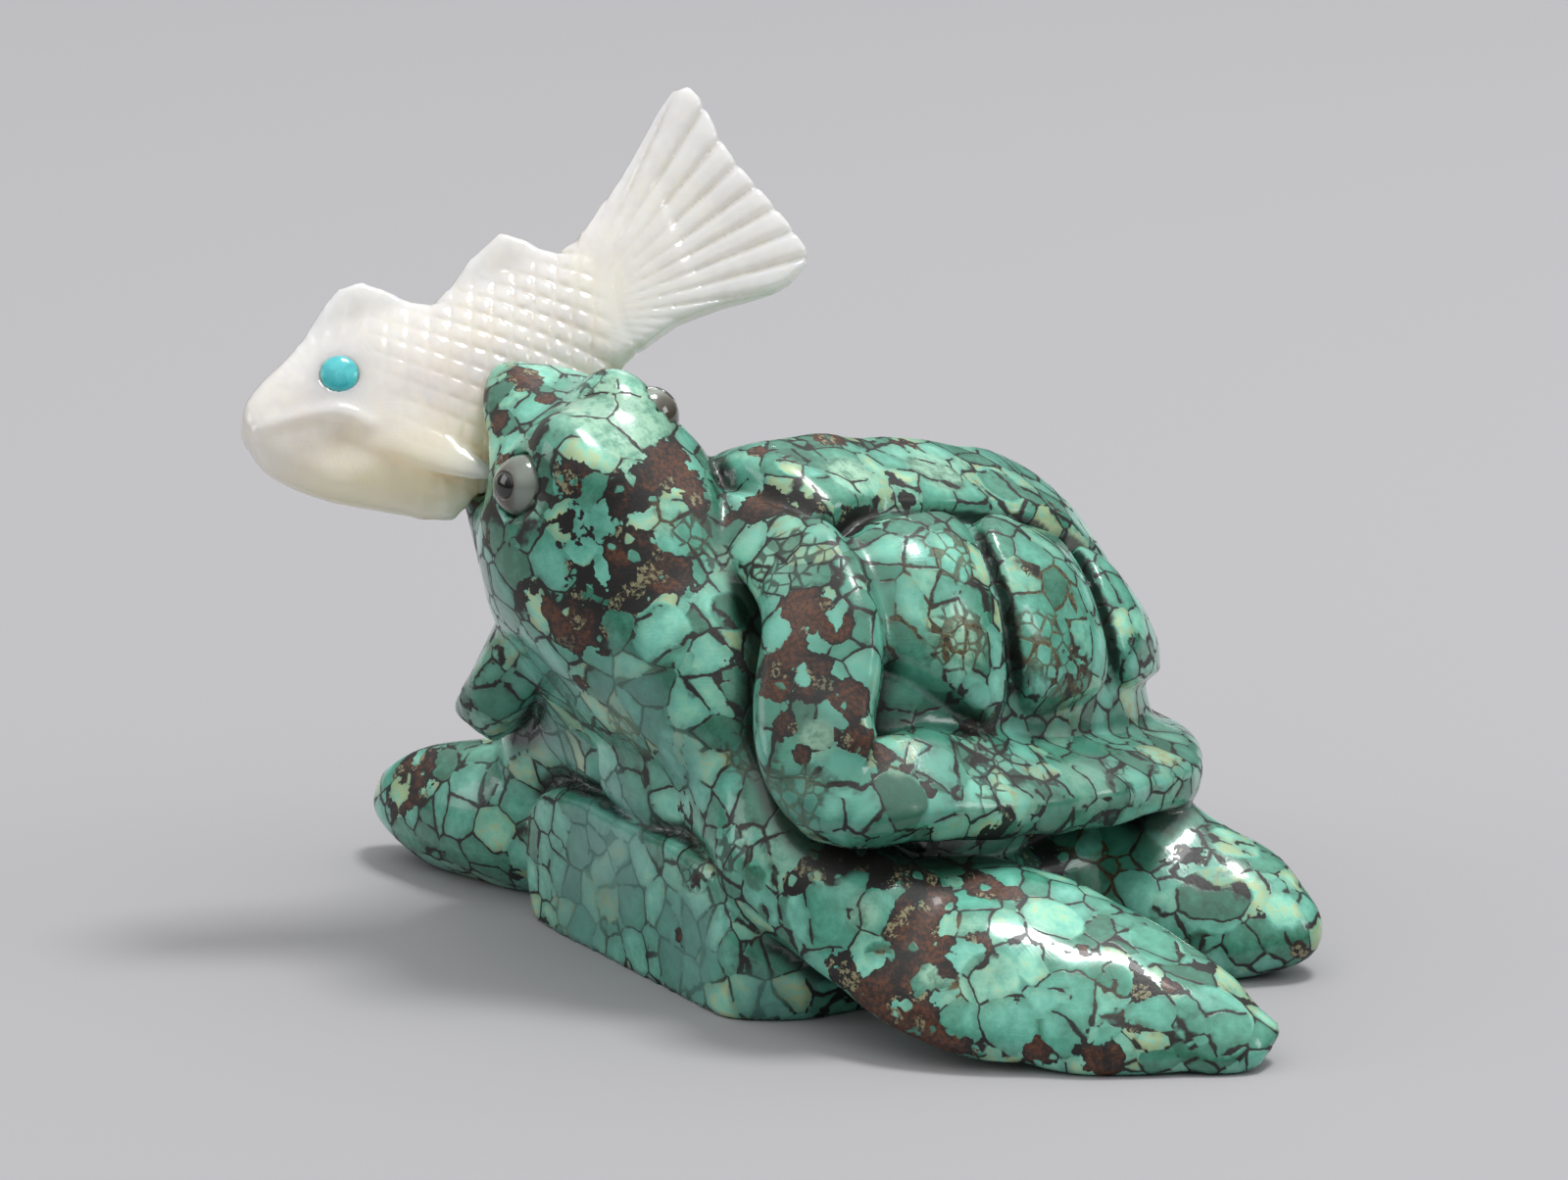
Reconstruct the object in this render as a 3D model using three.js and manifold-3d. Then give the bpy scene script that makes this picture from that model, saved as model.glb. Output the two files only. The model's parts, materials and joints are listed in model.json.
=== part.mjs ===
// Carved sea turtle in spiderweb turquoise with a mother-of-pearl fish held crosswise in its beak.
// Millimetres, +Z up. The turtle's body faces -Y, its left side is +X, and its head is turned to its right.
// The origin is on the ground under the middle of the shell.
import * as THREE from "three";
import { mergeVertices } from "three/addons/utils/BufferGeometryUtils.js";
import Module from "manifold-3d";

// Driving sizes
const turtleLength = 40; // from the front of the plastron to the tip of the tail
const fishLength = 27.5; // from the nose to the lower lobe of the tail
const fishThickness = 3.2; // across the middle of the fish's body
const eyeBeadDiameter = 2.9; // the grey shell bead in each eye socket
const eyeBeadLength = 3.2; // how long the bead is along the way it looks
const eyePupilDiameter = 1.15; // the black disc let into the bead
const eyePupilLength = 1.2; // how deep the pupil goes into the bead
const fishEyeDiameter = 1.75; // the turquoise dot on each side of the fish's head
const fishEyeLength = 1.0; // how deep the dot goes into the fish
const seatClearance = 0.3; // between the fish and the mouth that holds it
const inlayClearance = 0.06; // between an inlay and its socket

// How finely the stone is carved
const blockCells = 5; // grid points are taken in blocks of so many each way
const blockMargin = 1.25; // a block whose middle is further than its own reach from the surface is skipped
const turtleCell = 0.58; // spacing of the grid that the turtle's surface is taken from
const fishCell = 0.32; // the same for the fish
const seatCell = 0.6; // the same for the hollow that it sits in
const turtleTriangles = 5300;
const fishTriangles = 2200;
const seatTriangles = 500;

// The pose and the carving of each animal are proportions of its own length:
// one turtle unit is a fortieth of the turtle, and one fish unit is a share of 27.5 of the fish.
const turtleUnit = turtleLength / 40;
const fishUnit = fishLength / 27.5;

// Blends between signed distances, which are negative inside
const smoothUnion = (a, b, blend) => {
  const overlap = Math.max(blend - Math.abs(a - b), 0) / blend;
  return Math.min(a, b) - (overlap * overlap * blend) / 4;
};
const smoothCommon = (a, b, blend) => -smoothUnion(-a, -b, blend);
// Joins two distances and cuts a groove where they meet
const carvedUnion = (a, b, depth, width) => Math.min(a, b) + depth * Math.exp(-(((a - b) / width) ** 2));
const clamp = (value, low, high) => Math.min(Math.max(value, low), high);
const lengthOf = (x, y, z) => Math.sqrt(x * x + y * y + z * z);
const degrees = (angle) => (angle * Math.PI) / 180;

// A place with three axes: forward, to its side and up.
class Pose {
  constructor(origin, forward, up) {
    this.origin = new THREE.Vector3(...origin);
    this.forward = new THREE.Vector3(...forward).normalize();
    this.side = new THREE.Vector3().crossVectors(this.forward, new THREE.Vector3(...up)).normalize();
    this.up = new THREE.Vector3().crossVectors(this.side, this.forward);
  }

  // The point that lies so far forward, to the side and up from the origin
  at(forward, side, up) {
    return this.origin
      .clone()
      .addScaledVector(this.forward, forward)
      .addScaledVector(this.side, side)
      .addScaledVector(this.up, up)
      .toArray();
  }

  // The world point x, y, z as forward, side and up distances
  local(x, y, z) {
    const { origin, forward, side, up } = this;
    const dx = x - origin.x;
    const dy = y - origin.y;
    const dz = z - origin.z;
    return [
      dx * forward.x + dy * forward.y + dz * forward.z,
      dx * side.x + dy * side.y + dz * side.z,
      dx * up.x + dy * up.y + dz * up.z,
    ];
  }
}

// Further than this from a form, no blend is felt and a rough distance is enough
const farAway = 2.5;

// A rounded mass that reaches differently far each way. A power of 2 is round, more is boxy, less is pointed.
const lump = ({ pose, ahead, behind, side, above, below, powers = [2, 2, 2] }) => {
  const [powerAlong, powerAcross, powerUp] = powers;
  const { origin, forward: f, side: s, up: u } = pose;
  return (x, y, z) => {
    const dx = x - origin.x;
    const dy = y - origin.y;
    const dz = z - origin.z;
    const forward = dx * f.x + dy * f.y + dz * f.z;
    const across = Math.abs(dx * s.x + dy * s.y + dz * s.z);
    const up = dx * u.x + dy * u.y + dz * u.z;
    const reachAlong = forward > 0 ? ahead : behind;
    const reachUp = up > 0 ? above : below;
    const outside = Math.max(Math.abs(forward) - reachAlong, across - side, Math.abs(up) - reachUp);
    if (outside > farAway) {
      return outside;
    }
    const a = Math.abs(forward) / reachAlong;
    const b = across / side;
    const c = Math.abs(up) / reachUp;
    const level = a ** powerAlong + b ** powerAcross + c ** powerUp;
    if (level < 1) {
      return (Math.sqrt(level) - 1) * Math.min(reachAlong, side, reachUp);
    }
    const slope = lengthOf(
      (powerAlong * a ** (powerAlong - 1)) / reachAlong,
      (powerAcross * b ** (powerAcross - 1)) / side,
      (powerUp * c ** (powerUp - 1)) / reachUp,
    );
    return (level - 1) / slope;
  };
};

// A round limb through points [x, y, z, radius]
const limb = (points) => {
  const pieces = points.slice(1).map((end, i) => {
    const [ax, ay, az, startRadius] = points[i];
    const [vx, vy, vz, widening] = end.map((value, k) => value - points[i][k]);
    return { ax, ay, az, vx, vy, vz, startRadius, widening, square: vx * vx + vy * vy + vz * vz };
  });
  const widest = Math.max(...points.map(([, , , radius]) => radius));
  const bounds = new THREE.Box3().setFromPoints(points.map(([x, y, z]) => new THREE.Vector3(x, y, z)));
  const { min, max } = bounds.expandByScalar(widest);
  return (x, y, z) => {
    const outside = Math.max(min.x - x, x - max.x, min.y - y, y - max.y, min.z - z, z - max.z);
    if (outside > farAway) {
      return outside;
    }
    let nearest = Infinity;
    for (const p of pieces) {
      const dx = x - p.ax;
      const dy = y - p.ay;
      const dz = z - p.az;
      const share = clamp((dx * p.vx + dy * p.vy + dz * p.vz) / p.square, 0, 1);
      const distance = lengthOf(dx - p.vx * share, dy - p.vy * share, dz - p.vz * share);
      nearest = Math.min(nearest, distance - p.startRadius - p.widening * share);
    }
    return nearest;
  };
};

// A Catmull-Rom value between rows[1] and rows[2]
const spline = (rows, share) => {
  const [before, start, end, after] = rows;
  return start.map((value, k) => {
    const leaving = (end[k] - before[k]) / 2;
    const arriving = (after[k] - value) / 2;
    const s = share;
    return (
      (2 * s ** 3 - 3 * s ** 2 + 1) * value + (s ** 3 - 2 * s ** 2 + s) * leaving +
      (3 * s ** 2 - 2 * s ** 3) * end[k] + (s ** 3 - s ** 2) * arriving
    );
  });
};

// Points on a smooth line through the rows, with so many steps for each of them
const smoothLine = (rows, steps, closed) => {
  const count = rows.length;
  const row = (i) => (closed ? rows[(i + count) % count] : rows[clamp(i, 0, count - 1)]);
  const line = [];
  for (let i = 0; i < (closed ? count : count - 1); i += 1) {
    for (let k = 0; k < steps; k += 1) {
      line.push(spline([row(i - 1), row(i), row(i + 1), row(i + 2)], k / steps));
    }
  }
  line.push(row(closed ? 0 : count - 1));
  return line;
};

const mirrored = ([x, ...rest]) => [-x, ...rest];

// A flat cut: what is past the place, in the direction that it faces, is outside
const flatCut = (place, facing) => {
  const plane = new THREE.Plane().setFromNormalAndCoplanarPoint(
    new THREE.Vector3(...facing).normalize(), new THREE.Vector3(...place),
  );
  const { normal, constant } = plane;
  return (x, y, z) => x * normal.x + y * normal.y + z * normal.z + constant;
};

// A closed flat band through rows [x, y, z, half width, half thickness, facing]. The facing is the angle
// at which the broad side looks up, from 0 for straight out from the middle to 90.
const strapPower = 3.6; // how square its section is
const strap = (rows, [middleX, middleY]) => {
  const last = rows.length - 1;
  const place = (i) => new THREE.Vector3(...rows[(i + last) % last]);
  const frames = rows.map(([x, y, , , , facing], i) => {
    const tangent = place(i + 1).sub(place(i - 1)).normalize();
    const angle = degrees(facing);
    const out = new THREE.Vector3(x - middleX, y - middleY, 0).normalize().multiplyScalar(Math.cos(angle));
    const face = out.setZ(Math.sin(angle)).projectOnPlane(tangent).normalize();
    return { face, across: new THREE.Vector3().crossVectors(tangent, face) };
  });
  const pieces = rows.slice(1).map((end, i) => {
    const [ax, ay, az, half, thick] = rows[i];
    const [vx, vy, vz, widening, thickening] = end.map((value, k) => value - rows[i][k]);
    const square = vx * vx + vy * vy + vz * vz;
    const [start, finish] = [frames[i], frames[i + 1]];
    return { ax, ay, az, vx, vy, vz, square, half, thick, widening, thickening, start, finish };
  });
  const widest = Math.max(...rows.map(([, , , half]) => half));
  const { min, max } = new THREE.Box3().setFromPoints(rows.map((_, i) => place(i))).expandByScalar(widest);
  return (x, y, z) => {
    const outside = Math.max(min.x - x, x - max.x, min.y - y, y - max.y, min.z - z, z - max.z);
    if (outside > farAway) {
      return outside;
    }
    let nearest = Infinity;
    let best = null;
    for (const p of pieces) {
      const share = clamp(((x - p.ax) * p.vx + (y - p.ay) * p.vy + (z - p.az) * p.vz) / p.square, 0, 1);
      const dx = x - p.ax - p.vx * share;
      const dy = y - p.ay - p.vy * share;
      const dz = z - p.az - p.vz * share;
      const gap = dx * dx + dy * dy + dz * dz;
      if (gap < nearest) {
        nearest = gap;
        best = { p, share, dx, dy, dz };
      }
    }
    const { p, share, dx, dy, dz } = best;
    const along = (axis) => Math.abs(
      (dx * p.start[axis].x + dy * p.start[axis].y + dz * p.start[axis].z) * (1 - share) +
      (dx * p.finish[axis].x + dy * p.finish[axis].y + dz * p.finish[axis].z) * share,
    );
    const half = p.half + p.widening * share;
    const thick = p.thick + p.thickening * share;
    const a = along("across") / half;
    const b = along("face") / thick;
    const level = a ** strapPower + b ** strapPower;
    if (level < 1) {
      return (level ** (1 / strapPower) - 1) * thick;
    }
    const slope = lengthOf(a ** (strapPower - 1) / half, b ** (strapPower - 1) / thick, 0);
    return (level - 1) / (strapPower * slope);
  };
};

// How softly the forms of the turtle run into each other
const slotBlend = 0.3; // where the neck comes out under the shell
const creaseBlend = 0.8; // across a carved crease
const featureBlend = 1.0; // on the head
const softBlend = 2.0; // where the head, neck and limbs grow out of the body

// The turtle's head: where it is, how far it is turned to the right, lifted and rolled
const headCentre = [-4.7, -9.4, 23.9];
const headTurn = degrees(80.6);
const headLift = degrees(31.8);
const headRoll = degrees(-22.6);
const headForward = new THREE.Vector3(
  -Math.sin(headTurn) * Math.cos(headLift),
  -Math.cos(headTurn) * Math.cos(headLift),
  Math.sin(headLift),
);
const headUp = new THREE.Vector3(0, 0, 1)
  .projectOnPlane(headForward)
  .normalize()
  .applyAxisAngle(headForward, headRoll);
const head = new Pose(headCentre, headForward.toArray(), headUp.toArray());
const headPart = (forward, side, up) => new Pose(
  head.at(forward, side, up), headForward.toArray(), headUp.toArray(),
);

// Shell: a dome and, along its middle, a keel with upright walls
const shellMiddle = [0, -2, 9];
const shellPose = (tilt) => new Pose(shellMiddle, [0, -Math.cos(tilt), Math.sin(tilt)], [0, 0, 1]);
const shellDome = lump({
  pose: shellPose(degrees(18)),
  ahead: 7.4, behind: 17.4, side: 11.6, above: 12.7, below: 6, powers: [2.9, 2.9, 2.6],
});
const keelMass = lump({
  pose: shellPose(degrees(9.5)),
  ahead: 8.6, behind: 18.6, side: 11.3, above: 14.6, below: 6, powers: [4.0, 1.35, 2.6],
});
const keelHalfWidth = 5.1;
const keelEdge = 0.7; // how far its edges are rounded
const keelGroove = { depth: 0.45, width: 0.55 }; // the groove that runs along each side of the keel
const keelFront = flatCut([0, -5.1, 24.2], [0, -0.93, 0.37]);
const scuteRise = 0.7; // how far the side scutes stand proud
const scuteCrown = 0.5; // and how much they swell towards their middle
const scuteSeams = [-5.9, 3.2, 10.0, 17, 26]; // where the seams cross the shell, along y
const seamLean = 0.35; // the seams run forward as they go down the side
const scuteTop = 63; // the angle around the shell at which the side scutes end below the keel
const scuteFoot = 15; // and the angle at which they end above the brim
const footClimb = { from: -1.4, over: 6, slope: 4.3 }; // in front, the foot of the first scute climbs
const scuteEdge = 0.84; // where the edge of a scute starts to fall, as a share of the way to the seam
const scutePower = 6; // how square a scute is

// How far the side scutes stand out from the dome
const scuteSwelling = (x, y, z) => {
  const away = Math.abs(x);
  const along = y + seamLean * Math.max(away - keelHalfWidth, 0);
  const next = scuteSeams.findIndex((seam) => along < seam);
  if (next < 1) {
    return 0;
  }
  const [start, end] = [scuteSeams[next - 1], scuteSeams[next]];
  const a = (2 * along - start - end) / (end - start);
  const foot = scuteFoot + clamp(footClimb.from - y, 0, footClimb.over) * footClimb.slope;
  const turn = THREE.MathUtils.radToDeg(Math.atan2(z - shellMiddle[2], away));
  const b = (2 * turn - scuteTop - foot) / (scuteTop - foot);
  const reach = (Math.abs(a) ** scutePower + Math.abs(b) ** scutePower) ** (1 / scutePower);
  const edge = 1 - THREE.MathUtils.smoothstep(reach, scuteEdge, 1);
  return scuteRise * edge + scuteCrown * Math.max(1 - reach * reach, 0);
};

// The edge of the shell: a flat arch over the neck that runs down into a sloping brim.
// Left half, front to back, as place, half width, half thickness and facing.
const brimHalf = [
  [4.6, -6.0, 19.3, 2.4, 1.7, 32],
  [8.1, -7.5, 17.2, 2.6, 1.7, 25],
  [9.9, -9.6, 13.4, 2.7, 1.6, 28],
  [11.7, -9.2, 11.0, 2.6, 1.5, 42],
  [12.9, -5.0, 10.7, 2.6, 1.3, 52],
  [13.1, 0, 9.7, 2.6, 1.3, 62],
  [12.9, 5, 9.0, 2.4, 1.3, 72],
  [11.4, 9.9, 8.4, 2.3, 1.3, 78],
  [6.6, 13.9, 8.0, 2.1, 1.3, 76],
];
const brimFront = [0, -5.6, 20.1, 2.2, 1.7, 35];
const brimBack = [0, 15.8, 7.7, 2.1, 1.3, 75];
const brimSteps = 3;
const brimMiddle = [0, 2]; // the place that its broad side faces away from
const brimRing = [brimFront, ...brimHalf, brimBack, ...brimHalf.map(mirrored).reverse()];
const brim = strap(smoothLine(brimRing, brimSteps, true), brimMiddle);

const shellForm = (x, y, z) => {
  const dome = smoothUnion(shellDome(x, y, z) - scuteSwelling(x, y, z), brim(x, y, z), creaseBlend);
  const walls = smoothCommon(keelMass(x, y, z), Math.abs(x) - keelHalfWidth, keelEdge);
  const keel = smoothCommon(walls, keelFront(x, y, z), keelEdge);
  return carvedUnion(dome, keel, keelGroove.depth, keelGroove.width);
};

// Body under the shell
const body = lump({
  pose: new Pose([0, 2, 7], [0, -1, 0], [0, 0, 1]),
  ahead: 11, behind: 13.4, side: 10.8, above: 8, below: 9, powers: [2.6, 2.6, 2.4],
});
const plastronFacing = [-0.19, -0.98, 0]; // its front is turned a little to the right, under the neck
const plastron = lump({
  pose: new Pose([-0.12, -1.88, 3.2], plastronFacing, [0, 0, 1]),
  ahead: 10.5, behind: 15, side: 11.5, above: 4.6, below: 6, powers: [4.0, 3.6, 3.2],
});
const plastronFace = flatCut([-1.5, -10.7, 0], plastronFacing);
const plastronEdge = 0.35; // how far the edge of its flat face is rounded
const plastronGroove = { depth: 0.3, width: 0.7, fade: [7.0, 8.0] }; // along its top edge, up to a height

// Neck and head
const neckSteps = 3;
const neckLine = [
  [-1.8, -2.6, 6.5, 7.4],
  [-3.4, -6.2, 8.5, 6.8],
  [-4.5, -8.4, 11.8, 6.3],
  [-5.1, -9.3, 15.1, 5.9],
  [-5.2, -9.4, 18.1, 5.5],
  [-4.7, -9.2, 20.2, 4.7],
];
const napeLine = [[1.5, -8, 9, 6.4], [0, -8, 14, 5.2], [-2.5, -8, 18.5, 4]];
const neckParts = [neckLine, napeLine].map((line) => limb(smoothLine(line, neckSteps, false)));
const skull = lump({
  pose: headPart(-1.2, 0, -2.4),
  ahead: 4.4, behind: 4.4, side: 4.4, above: 3.1, below: 4.6, powers: [2.2, 2.3, 2.2],
});
const brow = (place) => lump({
  pose: headPart(...place), ahead: 2.2, behind: 2.4, side: 1.6, above: 1.4, below: 2,
});
const snout = lump({
  pose: headPart(1.4, 0, -1.8),
  ahead: 5.6, behind: 3, side: 4.0, above: 2.0, below: 1.9, powers: [1.5, 1.5, 2],
});
const jaw = lump({
  pose: headPart(1.2, 0, -6.4),
  ahead: 6.2, behind: 4, side: 4.2, above: 1.6, below: 3, powers: [1.7, 1.7, 2],
});
const browParts = [[0.7, 1.8, 0.5], [-0.7, -2.1, 1.1]].map(brow); // forward, to the side and up in the head
const throat = flatCut([-1.1, -8.7, 7.6], [-0.155, -0.80, -0.58]); // the underside of the neck
const throatBlend = 3.0;

const headForm = (x, y, z) => {
  let form = skull(x, y, z);
  for (const part of [snout, jaw, ...browParts]) {
    form = smoothUnion(form, part(x, y, z), featureBlend);
  }
  return form;
};

// Limbs: each flipper is a pointed leaf whose front edge is turned down to the ground
const flipper = ({ middle, tip, roll, ...sizes }) => {
  const along = new THREE.Vector3(...tip).sub(new THREE.Vector3(...middle));
  const up = new THREE.Vector3(0, 0, 1).applyAxisAngle(along.clone().normalize(), roll);
  return lump({ pose: new Pose(middle, along.toArray(), up.toArray()), ahead: along.length(), ...sizes });
};
const frontFlipper = { behind: 10.5, side: 5.6, above: 2.7, below: 2.3, powers: [1.4, 1.7, 1.8] };
const rearFlipper = { behind: 9, side: 4.6, above: 2.9, below: 2.6, powers: [2.0, 1.9, 1.9] };
const frontLeft = { middle: [16.6, -5.4, 3.7], tip: [28.2, 1.4, 0.8], roll: degrees(28), ...frontFlipper };
const frontRight = {
  middle: [-15.3, -4.8, 3.3], tip: [-24.6, -6.8, 2.7], roll: degrees(-18),
  behind: 9, side: 3.9, above: 3.7, below: 4.1, powers: [1.8, 1.8, 1.8],
};
const rearLeft = { middle: [12.8, 9.0, 3.2], tip: [20.2, 11.6, 1.6], roll: degrees(24), ...rearFlipper };
const rearRight = {
  ...rearLeft, middle: mirrored(rearLeft.middle), tip: mirrored(rearLeft.tip), roll: -rearLeft.roll,
};
const flippers = [frontLeft, frontRight, rearLeft, rearRight].map(flipper);
const leftShoulder = [[3, -5.5, 8, 4.6], [7.6, -8.8, 6.6, 3.7], [12.5, -8.0, 4.9, 3.0]];
const rightShoulder = [[-3, -2.5, 8, 4.6], [-8.8, -3.8, 9.4, 4.4], [-12.4, -4.0, 7.2, 3.9]];
const hipLine = [[6, 8, 6, 4], [11, 9.4, 4.4, 3.2]];
const limbRoots = [leftShoulder, rightShoulder, hipLine, hipLine.map(mirrored)].map(limb);
const tail = limb([[0, 14, 4.5, 3], [0, 18.6, 2.6, 1.3], [0, 20.6, 1.4, 0.6]]);

const turtleForm = (x, y, z) => {
  let front = headForm(x, y, z);
  for (const part of neckParts) {
    front = smoothUnion(front, part(x, y, z), softBlend);
  }
  front = smoothCommon(front, throat(x, y, z), throatBlend);
  for (const part of [body, ...limbRoots]) {
    front = smoothUnion(front, part(x, y, z), softBlend);
  }
  let form = smoothUnion(shellForm(x, y, z), front, slotBlend);
  const groove = plastronGroove.depth * (1 - THREE.MathUtils.smoothstep(z, ...plastronGroove.fade));
  const facet = smoothCommon(plastron(x, y, z), plastronFace(x, y, z), plastronEdge);
  form = carvedUnion(form, facet, groove, plastronGroove.width);
  for (const part of [...flippers, tail]) {
    form = smoothUnion(form, part(x, y, z), creaseBlend);
  }
  return form;
};

// The fish: its own frame starts at the bite, runs back to the tail, and its up is towards the back fin
const bitePlace = [4.6, 0, -4.2]; // forward, to the side and up in the head
const bite = head.at(...bitePlace);
const fishPose = new Pose(
  bite.map((value) => value * turtleUnit), [-0.43, -0.87, -0.23], [-0.58, 0.07, 0.81],
);

// Body of the fish: distance behind the bite, middle, half height and half thickness as a share
const fishStations = [
  [-12.3, 3.6, 0.3, 0.12],
  [-11.6, 3.4, 1.9, 0.6],
  [-9.4, 3.1, 3.5, 0.92],
  [-6.4, 2.8, 4.4, 1],
  [-2.8, 2.6, 4.7, 1],
  [0.4, 3.2, 4.2, 0.92],
  [3.6, 4.2, 3.6, 0.76],
  [6.2, 5.4, 3.1, 0.58],
  [9.5, 7.0, 2.4, 0.3],
];
const fishBodyLine = smoothLine(fishStations, 4, false);
const fishHalfThickness = fishThickness / 2 / fishUnit;

const fishBody = (back, up, side) => {
  const last = fishBodyLine.length - 1;
  let i = 0;
  while (i < last - 1 && back > fishBodyLine[i + 1][0]) {
    i += 1;
  }
  const start = fishBodyLine[i];
  const end = fishBodyLine[i + 1];
  const share = clamp((back - start[0]) / (end[0] - start[0]), 0, 1);
  const [, middle, halfHeight, fullness] = start.map((value, k) => value + (end[k] - value) * share);
  const halfThickness = fullness * fishHalfThickness;
  const a = (up - middle) / halfHeight;
  const b = side / halfThickness;
  const level = Math.sqrt(a * a + b * b);
  const slope = lengthOf(a / halfHeight, b / halfThickness, 0) / Math.max(level, 1);
  const across = level < 1 ? (level - 1) * Math.min(halfHeight, halfThickness) : (level - 1) / slope;
  const beyond = Math.abs(back - clamp(back, fishBodyLine[0][0], fishBodyLine[last][0]));
  return beyond > 0 ? lengthOf(Math.max(across, 0), beyond, 0) : across;
};

// Signed distance to a closed outline in the plane of the fish
const outlineDistance = (outline, u, v) => {
  let nearest = Infinity;
  let inside = false;
  for (let i = 0, j = outline.length - 1; i < outline.length; j = i, i += 1) {
    const [ax, ay] = outline[i];
    const [bx, by] = outline[j];
    const vx = bx - ax;
    const vy = by - ay;
    const share = clamp(((u - ax) * vx + (v - ay) * vy) / (vx * vx + vy * vy), 0, 1);
    nearest = Math.min(nearest, lengthOf(u - ax - vx * share, v - ay - vy * share, 0));
    if (ay > v !== by > v && u < ((bx - ax) * (v - ay)) / (by - ay) + ax) {
      inside = !inside;
    }
  }
  return inside ? -nearest : nearest;
};

// Fins, two on the back and one on the belly, each an outline of [back, up] points
const finHalfThickness = 0.5;
const finRounding = 0.3; // how far the corners of an outline are rounded
const finEdge = 0.5; // how far the edge of a fin is rounded towards its sides
const finBlend = 0.7; // how softly the fins grow out of the body
const fanEdge = 0.35; // the same edge on the tail
const fins = [
  [[-9.7, 5.2], [-8.3, 6.9], [-6.9, 8.2], [-5.8, 9.0], [-4.8, 9.0], [-3.7, 8.1], [-2.5, 6.7]],
  [[-1.8, 6.0], [-1.0, 7.4], [0.5, 8.6], [2.1, 9.4], [3.0, 8.8], [4.4, 7.0]],
  [[-8.8, 0.2], [-6.9, -1.3], [-5.6, -2.2], [-4.4, -2.6], [-3.8, -2.2], [-3.4, -1.0], [-3.2, 0.8]],
];
const tailRoot = [3.6, 4.3];
const tailFan = smoothLine(
  [[6.0, 8.2], [8.4, 10.2], [10.3, 12.0], [12.3, 13.8], [13.0, 13.2], [13.2, 11.2], [13.6, 9.5], [14.5, 7.1],
    [15.2, 4.7], [14.7, 4.0], [13.3, 3.4], [10.9, 3.5], [8.4, 3.3], [5.2, 2.6], [4.6, 5.4]], 2, true,
).slice(1);
const tailFlutes = 9; // round ribs with narrow valleys between them
const tailFluteDepth = 0.2;
const tailSpread = degrees(62);
const tailHalfThickness = [0.85, 0.5]; // at the root and at the edge of the fan
const tailReach = 12;

// A long slender fin along each side, behind the cheek, that runs down and back
const sideFin = (facing) => lump({
  pose: new Pose([4.5, facing * 1.4, 0], [-2.25, facing * 0.4, -2.0], [0, facing, 0.2]),
  ahead: 3.1, behind: 3.3, side: 0.85, above: 0.35, below: 0.4, powers: [1.5, 2, 2],
});
const sideFins = [sideFin(1), sideFin(-1)];

const fishForm = (x, y, z) => {
  const [forward, side, up] = fishPose.local(x, y, z).map((value) => value / fishUnit);
  const back = -forward;
  let form = fishBody(back, up, side);
  for (const outline of fins) {
    const flat = outlineDistance(outline, back, up) - finRounding;
    form = smoothUnion(form, smoothCommon(flat, Math.abs(side) - finHalfThickness, finEdge), finBlend);
  }
  const reach = Math.hypot(back - tailRoot[0], up - tailRoot[1]) / tailReach;
  const angle = Math.atan2(up - tailRoot[1], back - tailRoot[0]);
  const valley = 1 - Math.abs(Math.sin((angle * tailFlutes * Math.PI) / tailSpread));
  const flute = tailFluteDepth * valley ** 2 * clamp(reach, 0, 1);
  const half = THREE.MathUtils.lerp(...tailHalfThickness, clamp(reach, 0, 1)) - flute;
  const fan = smoothCommon(outlineDistance(tailFan, back, up) - finRounding, Math.abs(side) - half, fanEdge);
  form = smoothUnion(form, fan, finBlend);
  for (const part of sideFins) {
    form = smoothUnion(form, part(forward, side, up), finBlend);
  }
  return form * fishUnit;
};

// The eight corners of a grid cell, and its six faces as rings of corners
const corners = [0, 1, 2, 3, 4, 5, 6, 7].map((n) => [n & 1, (n >> 1) & 1, n >> 2]);
const faceRings = [[0, 1, 3, 2], [4, 5, 7, 6], [0, 1, 5, 4], [2, 3, 7, 6], [0, 2, 6, 4], [1, 3, 7, 5]];

// Whether two sheets of the surface would touch at an edge or a point of a cell
const sheetsTouch = (inside) => {
  const crossed = ([a, b, c, d]) => (
    inside[a] === inside[c] && inside[b] === inside[d] && inside[a] !== inside[b]
  );
  const like = (n) => inside.filter((value) => value === inside[n]).length;
  return faceRings.some(crossed) || [0, 1, 2, 3].some((n) => inside[n] === inside[7 - n] && like(n) === 2);
};

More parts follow.
